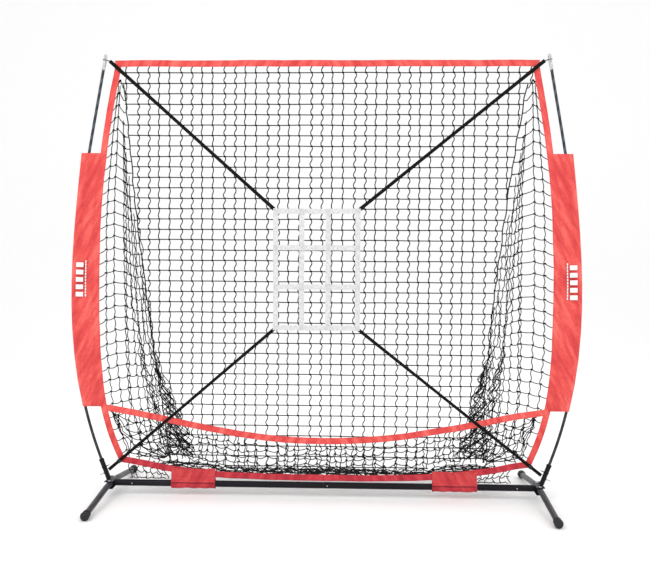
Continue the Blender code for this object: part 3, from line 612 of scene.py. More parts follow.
def foot_cap(end, name, leg_line, tyre):
    """A moulded ball of a foot with a ribbed collar, pressed flat where it stands."""
    node = f"foot_cap_{end}_{name}"
    low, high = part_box(node)
    if end == "rear":
        tip, before, nose = leg_line[-1], leg_line[-6], high[1]
    else:
        tip, before, nose = leg_line[0], leg_line[5], -low[1]
    slope = unit(tip - before)
    ball = (high[0] - low[0]) / 2
    centre = tip + slope * ((nose - ball * 0.985) - abs(tip[1])) / abs(slope[1])
    rib = FOOT_COLLAR + COLLAR_RIB
    profile = [(-0.034, FOOT_COLLAR * 0.86), (-0.034, FOOT_COLLAR), (-0.030, rib), (-0.026, FOOT_COLLAR)]
    profile += [(-0.024, FOOT_COLLAR), (-0.022, rib), (-0.019, FOOT_COLLAR)]
    turn = np.linspace(math.radians(38), math.pi, 18)
    profile += [(-ball * math.cos(a), ball * math.sin(a)) for a in turn]
    shape = turned(profile, slope, centre, 40)
    flatten_below(shape, 0.0)
    piece(f"ball_{node}", shape, tyre, body=f"leg_{end}_{name}", replaces=[node])


def leg_pins(zinc):
    """Rivet pins with domed heads, which the legs turn on."""
    for end in ENDS:
        for name in SIDES:
            node = f"leg_pin_{end}_{name}"
            low, high = np.array(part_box(node))
            foot, top = low[2], high[2]
            axis = np.array([*(low + high)[:2] / 2, 0.0])
            head = (high[0] - low[0]) / 2
            turn = np.linspace(0, math.pi / 2, 6)
            dome = [(foot + 0.0026 * (1 - math.cos(a)), head * math.sin(a)) for a in turn]
            shaft = [(foot + 0.0028, 0.004), (top - 0.0028, 0.004)]
            crown = [(foot + top - reach, radius) for reach, radius in dome[::-1]]
            shape = turned(dome + shaft + crown, UP, axis, 28)
            piece(f"rivet_{node}", shape, zinc, replaces=[node])


def snap_buttons(zinc):
    """Domed buttons that spring out through the bar's front wall."""
    for name in ("left", "centre", "right"):
        node = f"snap_button_{name}"
        low, high = np.array(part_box(node))
        centre = (low + high) / 2
        tip = -low[1] - BUTTON_RADIUS * 0.8
        turn = np.linspace(math.pi / 2, 0, 8)
        dome = [(tip + BUTTON_RADIUS * 0.8 * math.cos(a), BUTTON_RADIUS * math.sin(a)) for a in turn]
        profile = [(-high[1], 0.0046), (0.0105, 0.0046), (0.0106, BUTTON_RADIUS), *dome]
        shape = turned(profile, -BACK, centre * (1, 0, 1), 28)
        piece(f"dome_{node}", shape, zinc, body=f"button_{name}", replaces=[node])


def sockets(steel):
    """Leaning sockets with a rolled rim at the mouth and a weld bead at the foot."""
    for name in SIDES:
        node = f"pole_socket_{name}"
        line = resample(middle_line(node, 2, 12, inset=0.012), 0.004)
        run = lengths(line)
        rim = np.exp(-(((run - run[-1] + 0.004) / 0.0045) ** 2)) * 0.13
        bead = np.exp(-((run / 0.006) ** 2)) * 0.16
        shape = sweep(line, circle(SOCKET_RADIUS, 36), BACK, 1 + rim + bead)
        flatten_below(shape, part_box(node)[0][2])
        piece(f"tube_{node}", shape, steel, replaces=[node])


# Poles


def poles(black, slate, clear):
    """The bowed rods in their two sections, and the caps on their tips."""
    for name in SIDES:
        for section, finish, slot in (("lower", black, "black_pole"), ("upper", slate, "slate_pole")):
            node = f"pole_{section}_{name}"
            line = resample(middle_line(node, 2, 40, inset=0.006), 0.02)
            piece(f"rod_{node}", sweep(line, circle(POLE_RADIUS, 28), BACK), finish, replaces=[node])
        node = f"tip_cap_{name}"
        line = resample(middle_line(node, 2, 14, inset=0.004), 0.0015)
        run = lengths(line) / lengths(line)[-1]
        crown = np.sqrt(np.clip(1 - np.clip((run - 0.90) / 0.101, 0, 1) ** 2, 0, 1))
        rings = 1 - 0.10 * (np.abs((run * 7) % 1 - 0.5) < 0.13) * (run < 0.8)
        flare = 1 + 0.10 * np.clip(1 - run / 0.12, 0, 1)
        shape = sweep(line, circle(TIP_RADIUS, 28), BACK, crown * rings * flare)
        piece(f"moulded_{node}", shape, clear, replaces=[node])


# Cloth


def crumpled(shape, amount, size, seed):
    """A cloth shape with soft waves through it, both of its faces moved together."""
    points, faces, corners = shape
    waves = ripple(points * (1, 0, 1), size, seed) * amount
    return points + BACK * waves[:, None], faces, corners


def bindings(red, dark_red, red_thread):
    """Strips of cloth folded over the net's edge, with a row of stitches by each side."""
    # The node, the axis it runs along, its cloth, seed, reach past the node's ends, and lift
    tapes = (
        ("binding_top", 0, red, "red_cloth", 61, 0.000, -0.009),
        ("binding_left", 2, red, "red_cloth", 62, 0.016, 0.0),
        ("binding_right", 2, red, "red_cloth", 63, 0.016, 0.0),
        ("pocket_lip", 0, red, "red_cloth", 64, 0.026, 0.0),
        ("binding_bottom", 0, dark_red, "dark_red_cloth", 65, 0.024, 0.0),
    )
    step = 0.008
    hem = TAPE_WIDTH / 2 - 0.0035
    for node, axis, finish, slot, seed, reach, lift in tapes:
        line = resample(middle_line(node, axis, 60, inset=0.016 if axis == 2 else 0.004), step)
        if axis == 0:
            first = line[0] - unit(line[1] - line[0]) * reach
            last = line[-1] + unit(line[-1] - line[-2]) * reach
            line = resample(np.vstack([first, line, last]), step)
        line[:, 2] += lift
        side = unit(np.cross(headings(line), BACK))
        stray = ripple(line, 0.22, seed) * 0.0009
        billow = ripple(line, 0.13, seed + 20) * 0.0011
        line = line + side * stray[:, None] + BACK * billow[:, None]
        shape = crumpled(sweep(line, strip(TAPE_WIDTH, TAPE_THICKNESS, 8), BACK), 0.0007, 0.035, seed)
        made = piece(f"tape_{node}", shape, finish, replaces=[node])
        front = line - BACK * (TAPE_THICKNESS / 2 + STITCH_LIFT)
        stitches(f"stitching_{node}", [front - side * hem, front + side * hem], red_thread, slot)


def sleeve_section(inner, outer, pole, steps=15):
    """Front depths across a sleeve: round over the pole, and nearly flat towards the seam."""
    across = np.linspace(0, 1, steps)
    across = across - np.sin(across * math.tau) * 0.05
    x = inner + (outer - inner) * across
    bump = 0.0112 * np.exp(-(((x - pole) / 0.0125) ** 2) * 0.9)
    edge = 0.0010 + 0.0022 * np.sin(math.pi * np.clip(across, 0, 1)) ** 0.5
    return x, np.maximum(bump * np.clip((outer - x) / 0.006, 0, 1) ** 0.5, edge)


def sleeve_rings(name, way, heights):
    """The outline of a sleeve at each height, as points round it that start at its seam."""
    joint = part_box(f"pole_lower_{name}")[1][2] - 0.002
    rings = []
    for z in heights:
        bottom, top = cut(f"pole_sleeve_{name}", 2, z)
        inner, outer = sorted((abs(bottom[0]), abs(top[0])))
        section = "lower" if z < joint else "upper"
        pole = abs(np.add(*cut(f"pole_{section}_{name}", 2, z))[0]) / 2
        x, depth = sleeve_section(inner - 0.013, outer, pole)
        front = xyz(way * x, -depth, z)
        rings.append(np.vstack([front, front[-2:0:-1] * (1, -1, 1)]))
    return np.array(rings)


def sleeve_creases(rings, way, foot, top):
    """How far each point moves. Creases run down and outwards, and fade at the seam and the hems."""
    points = rings.reshape(-1, 3)
    x, y, z = points.T
    slant = x * way * 0.9 + z * 0.45
    crease = ripple(xyz(slant * 5.5, 0, z * 0.8), 0.55, 11 + way) * 0.0036
    crease += ripple(points, 0.06, 17 + way) * 0.0012
    out = np.abs(rings[:, :, 0])
    across = ((out - out[:, :1]) / np.ptp(out, axis=1)[:, None]).ravel()
    free = np.sin(math.pi * np.clip(across, 0, 1)) ** 0.7
    hem = np.clip(np.minimum(z - foot, top - z) / 0.04, 0.25, 1)
    taut = 1 - 0.85 * np.clip((np.abs(y) - 0.003) / 0.007, 0, 1)
    return crease * free * hem * taut


def sleeves(red, red_thread, white):
    """Sleeves of doubled cloth over the poles, creased on a slant, hemmed at both ends."""
    for name, way in SIDES.items():
        node = f"pole_sleeve_{name}"
        foot, top = (corner[2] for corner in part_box(node))
        heights = np.linspace(foot + MARGIN, top - MARGIN, 150)
        rings = sleeve_rings(name, way, heights)
        creases = sleeve_creases(rings, way, foot, top).reshape(len(rings), -1, 1)
        points = (rings + BACK * creases)[:, ::way]
        faces, row, column = grid_faces(*rings.shape[:2])
        corners = uv_pairs(heights[row], round_lengths(rings[len(rings) // 2])[column])
        shape = (points.reshape(-1, 3), faces, corners)
        made = piece(f"cloth_{node}", shape, red, replaces=[node])
        thicken(made, CLOTH, -1)
        sleeve_seams(node, red_thread)
        print_bars(node, white)


def on_sleeve(node, share, z):
    """A point on the front of a sleeve, at a share of its width from the seam."""
    bottom, top = cut(node, 2, z)
    inner, outer = sorted((bottom[0], top[0]), key=abs)
    return np.array([inner + (outer - inner) * share, bottom[1], z])


def sleeve_seams(node, red_thread):
    """Stitches along the sleeve's seam and its two hems."""
    low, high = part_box(node)
    heights = np.linspace(low[2] + 0.01, high[2] - 0.01, 60)
    lines = [np.array([on_sleeve(node, 0.035, z) for z in heights])]
    for z in (low[2] + 0.012, high[2] - 0.012):
        lines.append(np.array([on_sleeve(node, share, z) for share in np.linspace(0.05, 0.55, 12)]))
    proud = 0.0042
    for line in lines:
        line[:, 1] = -proud
    stitches(f"stitching_{node}", lines, red_thread, "red_cloth")


def print_bars(node, white):
    """Five plain printed blocks down the sleeve, and a fine dashed line beside them."""
    middle, half = 1.067, 0.090
    shapes = []
    # The share of the way across the sleeve, width, depth of the cloth there, count, and printed share
    rows = ((0.60, 0.036, 0.0124, 5, 0.62), (0.33, 0.006, 0.0072, 12, 0.75))
    for across, width, depth, count, filled in rows:
        step = 2 * half / count
        for k in range(count):
            foot = middle - half + k * step
            line = np.array([on_sleeve(node, across, z) for z in np.linspace(foot, foot + step * filled, 4)])
            line[:, 1] = -depth
            shapes.append(sweep(line, strip(width, 0.0006, 4), BACK))
    piece(f"print_{node}", joined(shapes), white)


def bar_wraps(dark_red, wrap_red, red_thread, painted_shadow_line):
    """Wraps that hold the net's foot to the bar: a loop of cloth, and a flap over its front."""
    for name in SIDES:
        node = f"bar_wrap_{name}"
        low, high = np.array(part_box(node))
        top = high[2]
        loop = (high[1] - low[1]) / 2
        turn = np.radians(np.linspace(160, 380, 28))
        under = [(loop * math.cos(a), LOOP_HEIGHT + loop * math.sin(a)) for a in turn]
        section = [(-0.0035, top), (-0.0045, top - 0.008), *under, (0.0045, top - 0.008), (0.0035, top)]
        stations = np.linspace(low[0], high[0], 40)
        # The loop's darker red is partly painted shade beneath the flap.
        cloth_sheet(f"cloth_{node}", stations, section, dark_red, WRAP_CLOTH, 31, replaces=[node])
        edge = cut("binding_bottom", 0, (low[0] + high[0]) / 2)[1][2] + 0.004
        reach = loop + 0.0050
        arc = np.radians(np.linspace(132, 149, 8))
        flap = [(-0.0062, edge), (-0.0070, top - 0.006)]
        flap += [(reach * math.cos(a), LOOP_HEIGHT + reach * math.sin(a)) for a in arc]
        cloth_sheet(f"flap_{node}", stations, flap, wrap_red, FLAP_CLOTH, 37)
        seams = ((-0.0082, edge - 0.005), (-loop - 0.0012, LOOP_HEIGHT - 0.006))
        rows = [xyz(stations, y, z) for y, z in seams]
        stitches(f"stitching_{node}", rows, red_thread, "dark_red_cloth")
        # A dark cord along the flap's lower edge is a painted shadow line under the flap.
        hem = xyz(stations, flap[-1][0] - 0.0008, flap[-1][1])
        piece(f"trim_{node}", sweep(hem, circle(0.0013, 8), BACK), painted_shadow_line)


def cloth_sheet(name, stations, section, finish, thickness, seed, replaces=()):
    """A sheet that follows a (depth, height) section, extruded across and softly creased."""
    section = resample(np.array([(0.0, y, z) for y, z in section]), 0.004)
    grid = np.array([section + ACROSS * x for x in stations])
    points = grid.reshape(-1, 3)
    inside = (0.0, 0.0, 0.058)  # in the bar, which the cloth bulges away from
    outwards = unit(points * (0, 1, 0) + (points - inside) * (0, 0.2, 1))
    points = points + outwards * (ripple(points, 0.05, seed) * 0.0014)[:, None]
    faces, row, column = grid_faces(*grid.shape[:2], wrap_columns=False)
    along = lengths(section)
    shape = (points, faces, uv_pairs(stations[row] - stations[0], along[column]))
    made = piece(name, shape, finish, replaces=replaces)
    thicken(made, thickness, 0)


# Netting


def knot():
    """A small lumpy knot, at the origin."""
    profile = np.array([(-1.2, 0.45), (-0.6, 0.9), (0.0, 1.0), (0.6, 0.85), (1.2, 0.45)])
    return turned(profile * KNOT, ACROSS, np.zeros(3), 6)


def net_piece(name, node, lines, knots, finish, radius, up=BACK, ropes=()):
    """Twine lines, thicker ropes and knots as one piece that stands for a CAD sheet."""
    shapes = [sweep(line, circle(radius, 5), up) for line in lines if len(line) > 2]
    shapes += [sweep(line, circle(SEAM_ROPE, 8), up) for line in ropes]
    across, outwards = (np.tile(axis, (len(knots), 1)) for axis in (ACROSS, up))
    shapes.append(copies(knot(), knots, across, outwards))
    piece(name, joined(shapes), finish, replaces=[node], smooth_angle=80)


def net_slopes():
    """Straight lines for the back net's depth and its seam's distance from the middle, against height."""
    low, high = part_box("back_net")
    heights = np.linspace(low[2] + 0.08, high[2] - 0.002, 12)
    corners = np.array([cut("back_net", 2, z)[1] for z in heights])
    depth = np.poly1d(np.polyfit(heights, corners[:, 1], 1))
    half = np.poly1d(np.polyfit(heights, corners[:, 0], 1))
    return depth, half


def seam_half(z, way):
    """The seam's distance from the middle on one side. The right one is pulled in by its slack panel."""
    low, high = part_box("back_net")
    down = np.clip((high[2] - z) / (high[2] - low[2]), 0, 1)
    bow = SEAM_BOW * np.sin(math.pi * np.minimum(down / 0.85, 1))
    pull = RIGHT_PULL * np.sin(math.pi * down) ** 0.8 * (np.asarray(way) > 0)
    return net_slopes()[1](z) + bow - pull


def net_half(z, way):
    """Half the back net's width: to the seam, or to the side bindings above the side panels."""
    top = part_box("back_net")[1][2]
    corner = cut("binding_right", 2, top - SIDE_START / 2)[0][0]
    return np.where(z > top - SIDE_START, corner + 0.004, seam_half(z, way))


def hung(x, z):
    """Points of the flat mesh, hung on the sloping back net."""
    depth = net_slopes()[0]
    opening = np.ones_like(z)
    for _ in range(4):
        height = EYE[2] + (z - EYE[2]) * opening
        opening = 1 + depth(height) / VIEW_DISTANCE
    return xyz(EYE[0] + (x - EYE[0]) * opening, depth(height), height)


def foot_height(x):
    """The height of the back net's foot at a distance from the middle."""
    low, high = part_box("back_net")
    stops = np.linspace(low[0] * FOOT_SHARE, high[0] * FOOT_SHARE, 60)
    return np.interp(x, stops, [cut("back_net", 0, stop)[0][2] for stop in stops])


def runs(line, inside):
    """The unbroken stretches of a line whose points are inside."""
    spots = np.flatnonzero(inside)
    return [line[run] for run in np.split(spots, np.flatnonzero(np.diff(spots) > 1) + 1) if len(run) > 2]


def back_net(twine):
    """The back net: straight rows, and columns that swing between knots, in a pattern of four."""
    low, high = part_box("back_net")
    numbers = np.arange(-21, 21)
    columns = FIRST_COLUMN + COLUMN_PITCH * numbers + WIDER_GAP * ((numbers + 2) // 4)
    first = high[2] - FIRST_ROW
    lines, knots = [], []

    def inside(points):
        x, z = points[:, 0], points[:, 2]
        return (np.abs(x) < net_half(z, np.sign(x))) & (z > foot_height(x))

    fall = np.arange(-FIRST_ROW / ROW_PITCH, ROWS, 1 / 6)
    for number, x in zip(numbers, columns):
        swing = SWING if number % 4 in (2, 3) else SWING * 0.5
        stray = ripple(xyz(fall, number * 3.7, 0), 9.0, 5) * 0.0012
        bow = 0.0022 * np.sin(fall * math.pi) ** 2 * (1 if number % 2 else -1)
        line = hung(x + swing * np.sin(fall * math.tau) + bow + stray, first - fall * ROW_PITCH)
        lines += runs(line, inside(line))
    x = np.linspace(columns[0], columns[-1], 420)
    for row in range(ROWS):
        height = first - row * ROW_PITCH
        stray = ripple(xyz(x, row * 0.7, 0), 0.35, 7) * 0.0012
        line = hung(x, height + stray)
        lines += runs(line, inside(line))
        crossings = hung(columns, np.full(len(columns), height))
        knots.append(crossings[inside(crossings)])
    heights = np.linspace(high[2] - SIDE_START + 0.01, low[2] + 0.05, 60)
    seams = []
    for way in SIDES.values():
        seam = xyz(way * seam_half(heights, way), net_slopes()[0](heights), heights)
        seam[:, 0] += ripple(seam, 0.07, 31 + way) * 0.0035
        seams.append(seam)
    net_piece("netting_back", "back_net", lines, np.vstack(knots), twine, TWINE, ropes=seams)


def column_shares(z):
    """Where a side panel's columns stand at a height, as shares of the way from its binding to its seam."""
    rise = np.clip((z - 0.45) / 1.10, 0, 1.25)
    low = np.array([0.10, 0.26, 0.42, 0.45, 0.58, 0.70, 0.72])
    high = np.array([0.18, 0.40, 0.68, 0.73, 0.79, 0.85, 0.87])
    shares = low + (high - low) * rise
    fold = shares[-1] + (1 - shares[-1]) * np.array([0.28, 0.52, 0.76])
    return np.concatenate([[0.0], shares, fold, [1.0]])


def side_place(name, share, z):
    """Points on a side panel, at shares of the way from its binding to the seam."""
    node = f"side_net_{name}"
    low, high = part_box(node)
    heights = np.linspace(low[2] + 0.002, high[2] - 0.002, 50)
    sections = np.array([cut(node, 2, height) for height in heights])
    near = np.interp(z, heights, np.abs(sections[:, :, 0]).max(axis=1))
    front = np.interp(z, heights, sections[:, 0, 1])
    x = near + (seam_half(z, SIDES[name]) - near) * share
    y = front + (net_slopes()[0](z) - front) * np.maximum(share, 0)
    fold = 0.020 * np.sin(math.pi * np.clip(share / 0.8, 0, 1)) ** 2
    return xyz(SIDES[name] * x, y - fold * share, z)


def arch(share, z):
    """How far a side panel's rows rise towards the middle of the panel, and drop into its fold."""
    tall = np.clip((z - 0.35) / 0.5, 0, 1)
    rise = 0.026 * np.sin(math.pi * np.clip(share / 0.78, 0, 1))
    return tall * (rise - 0.008 * np.clip(share / 0.8, 0, 1) ** 4)


def side_columns(name, start, foot):
    """The columns of a side panel, which wander more where the panel is slack."""
    fall = np.arange(start, foot, -SIDE_ROW_PITCH / 5)
    shares = np.array([column_shares(z) for z in fall])
    lines = []
    for k in range(1, shares.shape[1] - 1):
        wander = ripple(xyz(fall, k * 0.9, 0), 0.30, 51 + k) * (0.012 if k <= OPEN_COLUMNS else 0.035)
        wiggle = np.sin(fall / SIDE_ROW_PITCH * math.tau + k * 2.1) * 0.012
        line = side_place(name, np.clip(shares[:, k] + wander + wiggle, 0, 1.02), fall)
        lines.append(line[fall < COLUMN_TOPS[k]])
    return lines


def side_row(name, z, random):
    """One row of a side panel, which sags between its columns, and its knots."""
    shares = column_shares(z)
    binding, seam = side_place(name, np.array([0.0, 1.0]), z)
    width = abs(seam[0] - binding[0])
    shares[0] = -0.013 / width  # the row starts inside the binding
    step = np.linspace(0, 1, 7)[:-1]
    row, drop = [], []
    for k, (left, right) in enumerate(zip(shares[:-1], shares[1:])):
        sag = random.uniform(0.002, 0.009) if k < OPEN_COLUMNS else random.uniform(0.004, 0.016)
        row.append(left + (right - left) * step)
        drop.append(4 * step * (1 - step) * sag * min(1.0, (right - left) * width / 0.016))
    share = np.concatenate([*row, [1.0]])
    line = side_place(name, share, z + arch(share, z) - np.concatenate([*drop, [0.0]]))
    spots = shares[1:OPEN_COLUMNS][z < np.array(COLUMN_TOPS[1:OPEN_COLUMNS])]
    return line, side_place(name, spots, z + arch(spots, z))


def side_nets(twine):
    """Side panels: open cells beside the binding, then a fold, and slack gathered along the seam."""
    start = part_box("back_net")[1][2] - SIDE_START
    for name, way in SIDES.items():
        node = f"side_net_{name}"
        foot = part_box(node)[0][2] + 0.01
        random = np.random.default_rng(40 + way)
        rows = [side_row(name, z, random) for z in np.arange(start, foot, -SIDE_ROW_PITCH)]
        lines = side_columns(name, start, foot) + [line for line, _ in rows] + gathered(way)
        knots = np.vstack([spots for _, spots in rows])
        net_piece(f"netting_{node}", node, lines, knots, twine, SLACK_TWINE)


def gathered(way):
    """Slack netting bunched along the seam, which drifts inwards as it falls, and a second, looser bunch."""
    random = np.random.default_rng(90 + way)
    depth = net_slopes()[0]
    lines = []
    for k in range(20):
        loose = k % 3 == 2
        top = random.uniform(0.75, 1.35) if k % 5 == 0 else random.uniform(0.38, 0.72)
        z = np.arange(top, 0.10, -0.009)
        fall = np.clip((0.72 - z) / 0.55, 0, 1)
        spread = 0.007 + 0.026 * fall
        centre = (0.075 if loose else 0.0) - 0.085 * fall ** 1.4
        swing = np.sin(z * random.uniform(40, 90) + random.uniform(0, 6)) * 0.8
        drift = np.sin(z * random.uniform(10, 26) + random.uniform(0, 6)) + random.uniform(-0.6, 0.6)
        x = seam_half(z, way) + centre + (swing + drift) * spread
        y = depth(z) - 0.004 - np.abs(np.sin(z * random.uniform(20, 50))) * spread
        lines.append(xyz(way * x, y, z + swing * spread * 0.4))
    return lines


def pocket_front(twine):
    """The pocket's front, hung slack between its lip and the bottom binding."""
    node = "pocket_net_front"
    low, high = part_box(node)

    def slack(points):
        moved = points.copy()
        moved[:, 0] += ripple(points, 0.10, 101) * 0.009
        moved[:, 1] += 0.004 + np.abs(ripple(points, 0.14, 102)) * 0.020
        moved[:, 2] += ripple(points, 0.08, 103) * 0.007
        return moved

    def level(x, share):
        bottom, top = cut(node, 0, np.clip(x, low[0] + 0.001, high[0] - 0.001))
        return top[2] + (bottom[2] - top[2]) * share

    columns = np.arange(low[0] + 0.03, high[0] - 0.02, POCKET_PITCH)
    share = np.linspace(0, 1, 30)
    lines, knots = [], []
    for k, x in enumerate(columns):
        flat = xyz(x + np.sin(share * 5 * math.tau + k) * 0.004, 0, level(x, share))
        lines.append(flat + (slack(flat) - flat) * np.sin(math.pi * share)[:, None] ** 0.3)
    stops = np.linspace(low[0] - 0.006, high[0] + 0.006, 250)
    droop = np.abs(np.sin((stops - columns[0]) / POCKET_PITCH * math.pi)) * 0.008
    for share in np.arange(1, 6) / 5.6:
        lines.append(slack(xyz(stops, 0, [level(x, share) for x in stops] - droop)))
        knots += [(x, 0.0, level(x, share)) for x in columns]
    net_piece(f"netting_{node}", node, lines, slack(np.array(knots)), twine, SLACK_TWINE)


def pocket_floor(twine):
    """The pocket's floor, with the slack netting heaped on it, and the loops that hang by the bar."""
    node = "pocket_net_floor"
    random = np.random.default_rng(17)

    def ground(points):
        moved = points + ACROSS * (ripple(points, 0.12, 133) * 0.008)[:, None]
        moved[:, 2] = np.maximum(moved[:, 2] + ripple(points, 0.10, 131) * 0.006, TWINE * 2)
        return moved

    def floor_at(x, share):
        bottom, top = cut(node, 0, x)
        y = bottom[1] + (top[1] - bottom[1]) * share
        z = top[2] + (bottom[2] - top[2]) * share
        return xyz(x, y, z)

    columns = np.arange(-0.935, 0.94, COLUMN_PITCH)
    stops = np.linspace(-FLOOR_HALF, FLOOR_HALF, 220)
    lines = [ground(floor_at(x, np.linspace(0, 1, 40))) for x in columns]
    knots = []
    for share in np.arange(1, 9) / 9:
        lines.append(ground(np.array([floor_at(x, share) for x in stops])))
        knots += [floor_at(x, share) for x in columns if abs(x) < FLOOR_HALF]
    for _ in range(9):
        middle, half = random.uniform(-0.35, 0.35), random.uniform(0.2, 0.45)
        stops = np.linspace(middle - half, middle + half, 90)
        share = random.uniform(0.45, 0.95)
        heap = np.array([floor_at(x, share) for x in stops])
        phase = random.uniform(0, 6)
        heap[:, 1] -= 0.018 * np.sin(stops * 70 + phase)
        heap[:, 2] += 0.010 + 0.012 * np.abs(np.sin(stops * 45 + phase))
        lines.append(heap)
    lines += hanging_loops(random)
    net_piece(f"netting_{node}", node, lines, ground(np.array(knots)), twine, SLACK_TWINE, up=UP)


def hanging_loops(random):
    """Slack netting that hangs under the bottom binding at both ends, in front of the rear legs."""
    bar_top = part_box("cross_bar_left")[1][2] + 0.004
    lines = []
    for first, last in ((-0.955, -0.775), (0.725, 0.905)):
        stops = np.linspace(first, last, 60)
        edge = np.array([cut("binding_bottom", 0, x)[0][2] for x in stops]) + 0.004
        for share in (0.0, 0.45, 0.92):
            droop = np.abs(np.sin((stops - first) * 105 + share * 5)) * 0.010
            z = np.maximum(edge + (bar_top - edge) * share - droop, bar_top)
            y = 0.010 + 0.012 * np.sin(stops * 60 + share * 9) ** 2
            lines.append(xyz(stops + np.sin(z * 300) * 0.003, y, z))
        share = np.linspace(0, 1, 14)
        for x in np.linspace(first, last, 6):
            high = np.interp(x, stops, edge)
            bend = np.sin(share * 5 + random.uniform(0, 6)) * 0.010
            y = 0.008 + 0.014 * share * (1 - share) * 3
            lines.append(xyz(x + bend, y, high + (bar_top - high) * share))
    return lines


# Strike zone and straps


def strike_zone(white, white_thread):
    """Strips of webbing sewn together where they cross."""
    low, high = np.array(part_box("strike_frame"))
    thickness = high[1] - low[1]
    depth = (low[1] + high[1]) / 2
    left, bottom = low[[0, 2]] + WEBBING_WIDTH / 2
    right, top = high[[0, 2]] - WEBBING_WIDTH / 2
    strips = (
        ((left, low[2]), (left, high[2]), 0.0),
        ((right, low[2]), (right, high[2]), 0.0),
        ((low[0], top), (high[0], top), -0.0009),
        ((low[0], bottom), (high[0], bottom), -0.0009),
    )
    shapes = []
    for seed, (start, end, lift) in enumerate(strips):
        shapes.append(webbing_run(start, end, depth + lift, thickness, seed))
    piece("webbing_frame", joined(shapes), white, replaces=["strike_frame"])
    uprights = inner_strips("upright", SIDES, 2, thickness, 10, white)
    crossbars = inner_strips("crossbar", ("upper", "lower"), 0, thickness, 20, white)
    rows = []
    for x in (left, *uprights[:, 0], right):
        for z in (bottom, *crossbars[:, 2], top):
            rows += box_stitch(x, z, depth - thickness * 2.1, 0.008)
    stitches("stitching_zone", rows, white_thread, "white_webbing", pitch=0.0050, length=0.0036)


def inner_strips(kind, names, axis, thickness, seed, white):
    """The strips that cross the frame along one axis, and their middles."""
    middles = []
    for k, name in enumerate(names):
        node = f"strike_{kind}_{name}"
        near, far = np.array(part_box(node))
        middle = (near + far) / 2
        start, end = middle.copy(), middle.copy()
        start[axis], end[axis] = near[axis], far[axis]
        shape = webbing_run(start[[0, 2]], end[[0, 2]], middle[1], thickness, seed + k)
        piece(f"webbing_{node}", shape, white, replaces=[node])
        middles.append(middle)
    return np.array(middles)


def box_stitch(x, z, y, half):
    """The lines of a sewn square with a cross in it."""
    turns = ((-half, -half), (half, -half), (half, half), (-half, half))
    corners = np.array([(x + across, y, z + up) for across, up in turns])
    return [corners[[0, 1, 2, 3, 0]], corners[[0, 2]], corners[[1, 3]]]


def webbing_run(start, end, depth, thickness, seed):
    """A straight strip of webbing that is not quite flat or straight."""
    line = resample(np.array([(start[0], depth, start[1]), (end[0], depth, end[1])]), 0.006)
    side = unit(np.cross(headings(line), BACK))
    bent = line + side * (ripple(line, 0.2, 200 + seed) * 0.0008)[:, None]
    return sweep(bent, strip(WEBBING_WIDTH, thickness, 8), BACK)


def straps(elastic, black_thread, plastic):
    """Elastic straps, each folded back on itself at both ends, with bar tacks through the folds."""
    # The level, its straps' width, and how far their outer ends are folded back and run on
    levels = (("upper", STRAP_WIDTH, 0.105, 0.012), ("lower", 0.0160, 0.030, 0.020))
    for level, wide, fold, end in levels:
        for name, way in SIDES.items():
            node = f"strap_{level}_{name}"
            line = resample(strap_line(node, way, end), 0.006)
            along = unit(line[-1] - line[0])
            side = np.cross(along, BACK)
            width = wide * (1 - 0.08 * np.sin(math.pi * lengths(line) / lengths(line)[-1]))
            back = line[-1] - along * np.linspace(fold, 0.0, 20)[:, None] - BACK * ELASTIC_PLY
            tab = line[0] + along * np.linspace(0.0, 0.034, 8)[:, None] - BACK * ELASTIC_PLY
            shapes = [
                sweep(line, strip(1.0, ELASTIC_THICKNESS / STRAP_WIDTH, 6), BACK, width),
                sweep(back, strip(width[-1] + 0.0004, ELASTIC_THICKNESS, 6), BACK),
                sweep(tab, strip(width[0] + 0.0004, ELASTIC_THICKNESS, 6), BACK),
            ]
            piece(f"elastic_{node}", joined(shapes), elastic, replaces=[node])
            front = line[[0, -1]] - BACK * (ELASTIC_THICKNESS / 2 + ELASTIC_PLY + STITCH_LIFT)
            middles = (front[1] - along * (fold - 0.004), front[1] - along * 0.014, front[0] + along * 0.026)
            tacks = [[middle - side * 0.006, middle + side * 0.006] for middle in middles]
            thread_size = {"pitch": 0.0022, "length": 0.0030}
            stitches(f"stitching_{node}", tacks, black_thread, "black_elastic", **thread_size)
    for name in SIDES:
        carried_over(f"strap_slider_{name}", plastic)


def strap_line(node, way, end_reach):
    """A strap's middle line, from under the strike zone's edge outwards, from its section near each end."""
    low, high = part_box(node)
    reach = 0.012
    near, far = (high[0] - reach, low[0] + reach) if way < 0 else (low[0] + reach, high[0] - reach)
    start, end = (np.add(*cut(node, 0, x)) / 2 for x in (near, far))
    along = unit(end - start)
    under = start - along * 0.024 + BACK * 0.0030
    edge = start - along * 0.004 + BACK * 0.0026
    return np.array([under, edge, start + along * 0.020, end + along * end_reach])


def corner_loops(cord):
    """Short ties of cord from the straps to the poles: the CAD's own, subdivided."""
    for level in ("upper", "lower"):
        for name in SIDES:
            kept = carried_over(f"corner_loop_{level}_{name}", cord)
            smooth = kept.modifiers.new("round", "SUBSURF")
            smooth.levels = smooth.render_levels = 2


# Studio


def aimed(name, data, place, target):
    """A lamp or a camera at a place, turned towards a target."""
    made = add_object(name, data)
    made.location = place
    made.rotation_euler = (Vector(target) - Vector(place)).to_track_quat("-Z", "Y").to_euler()
    return made


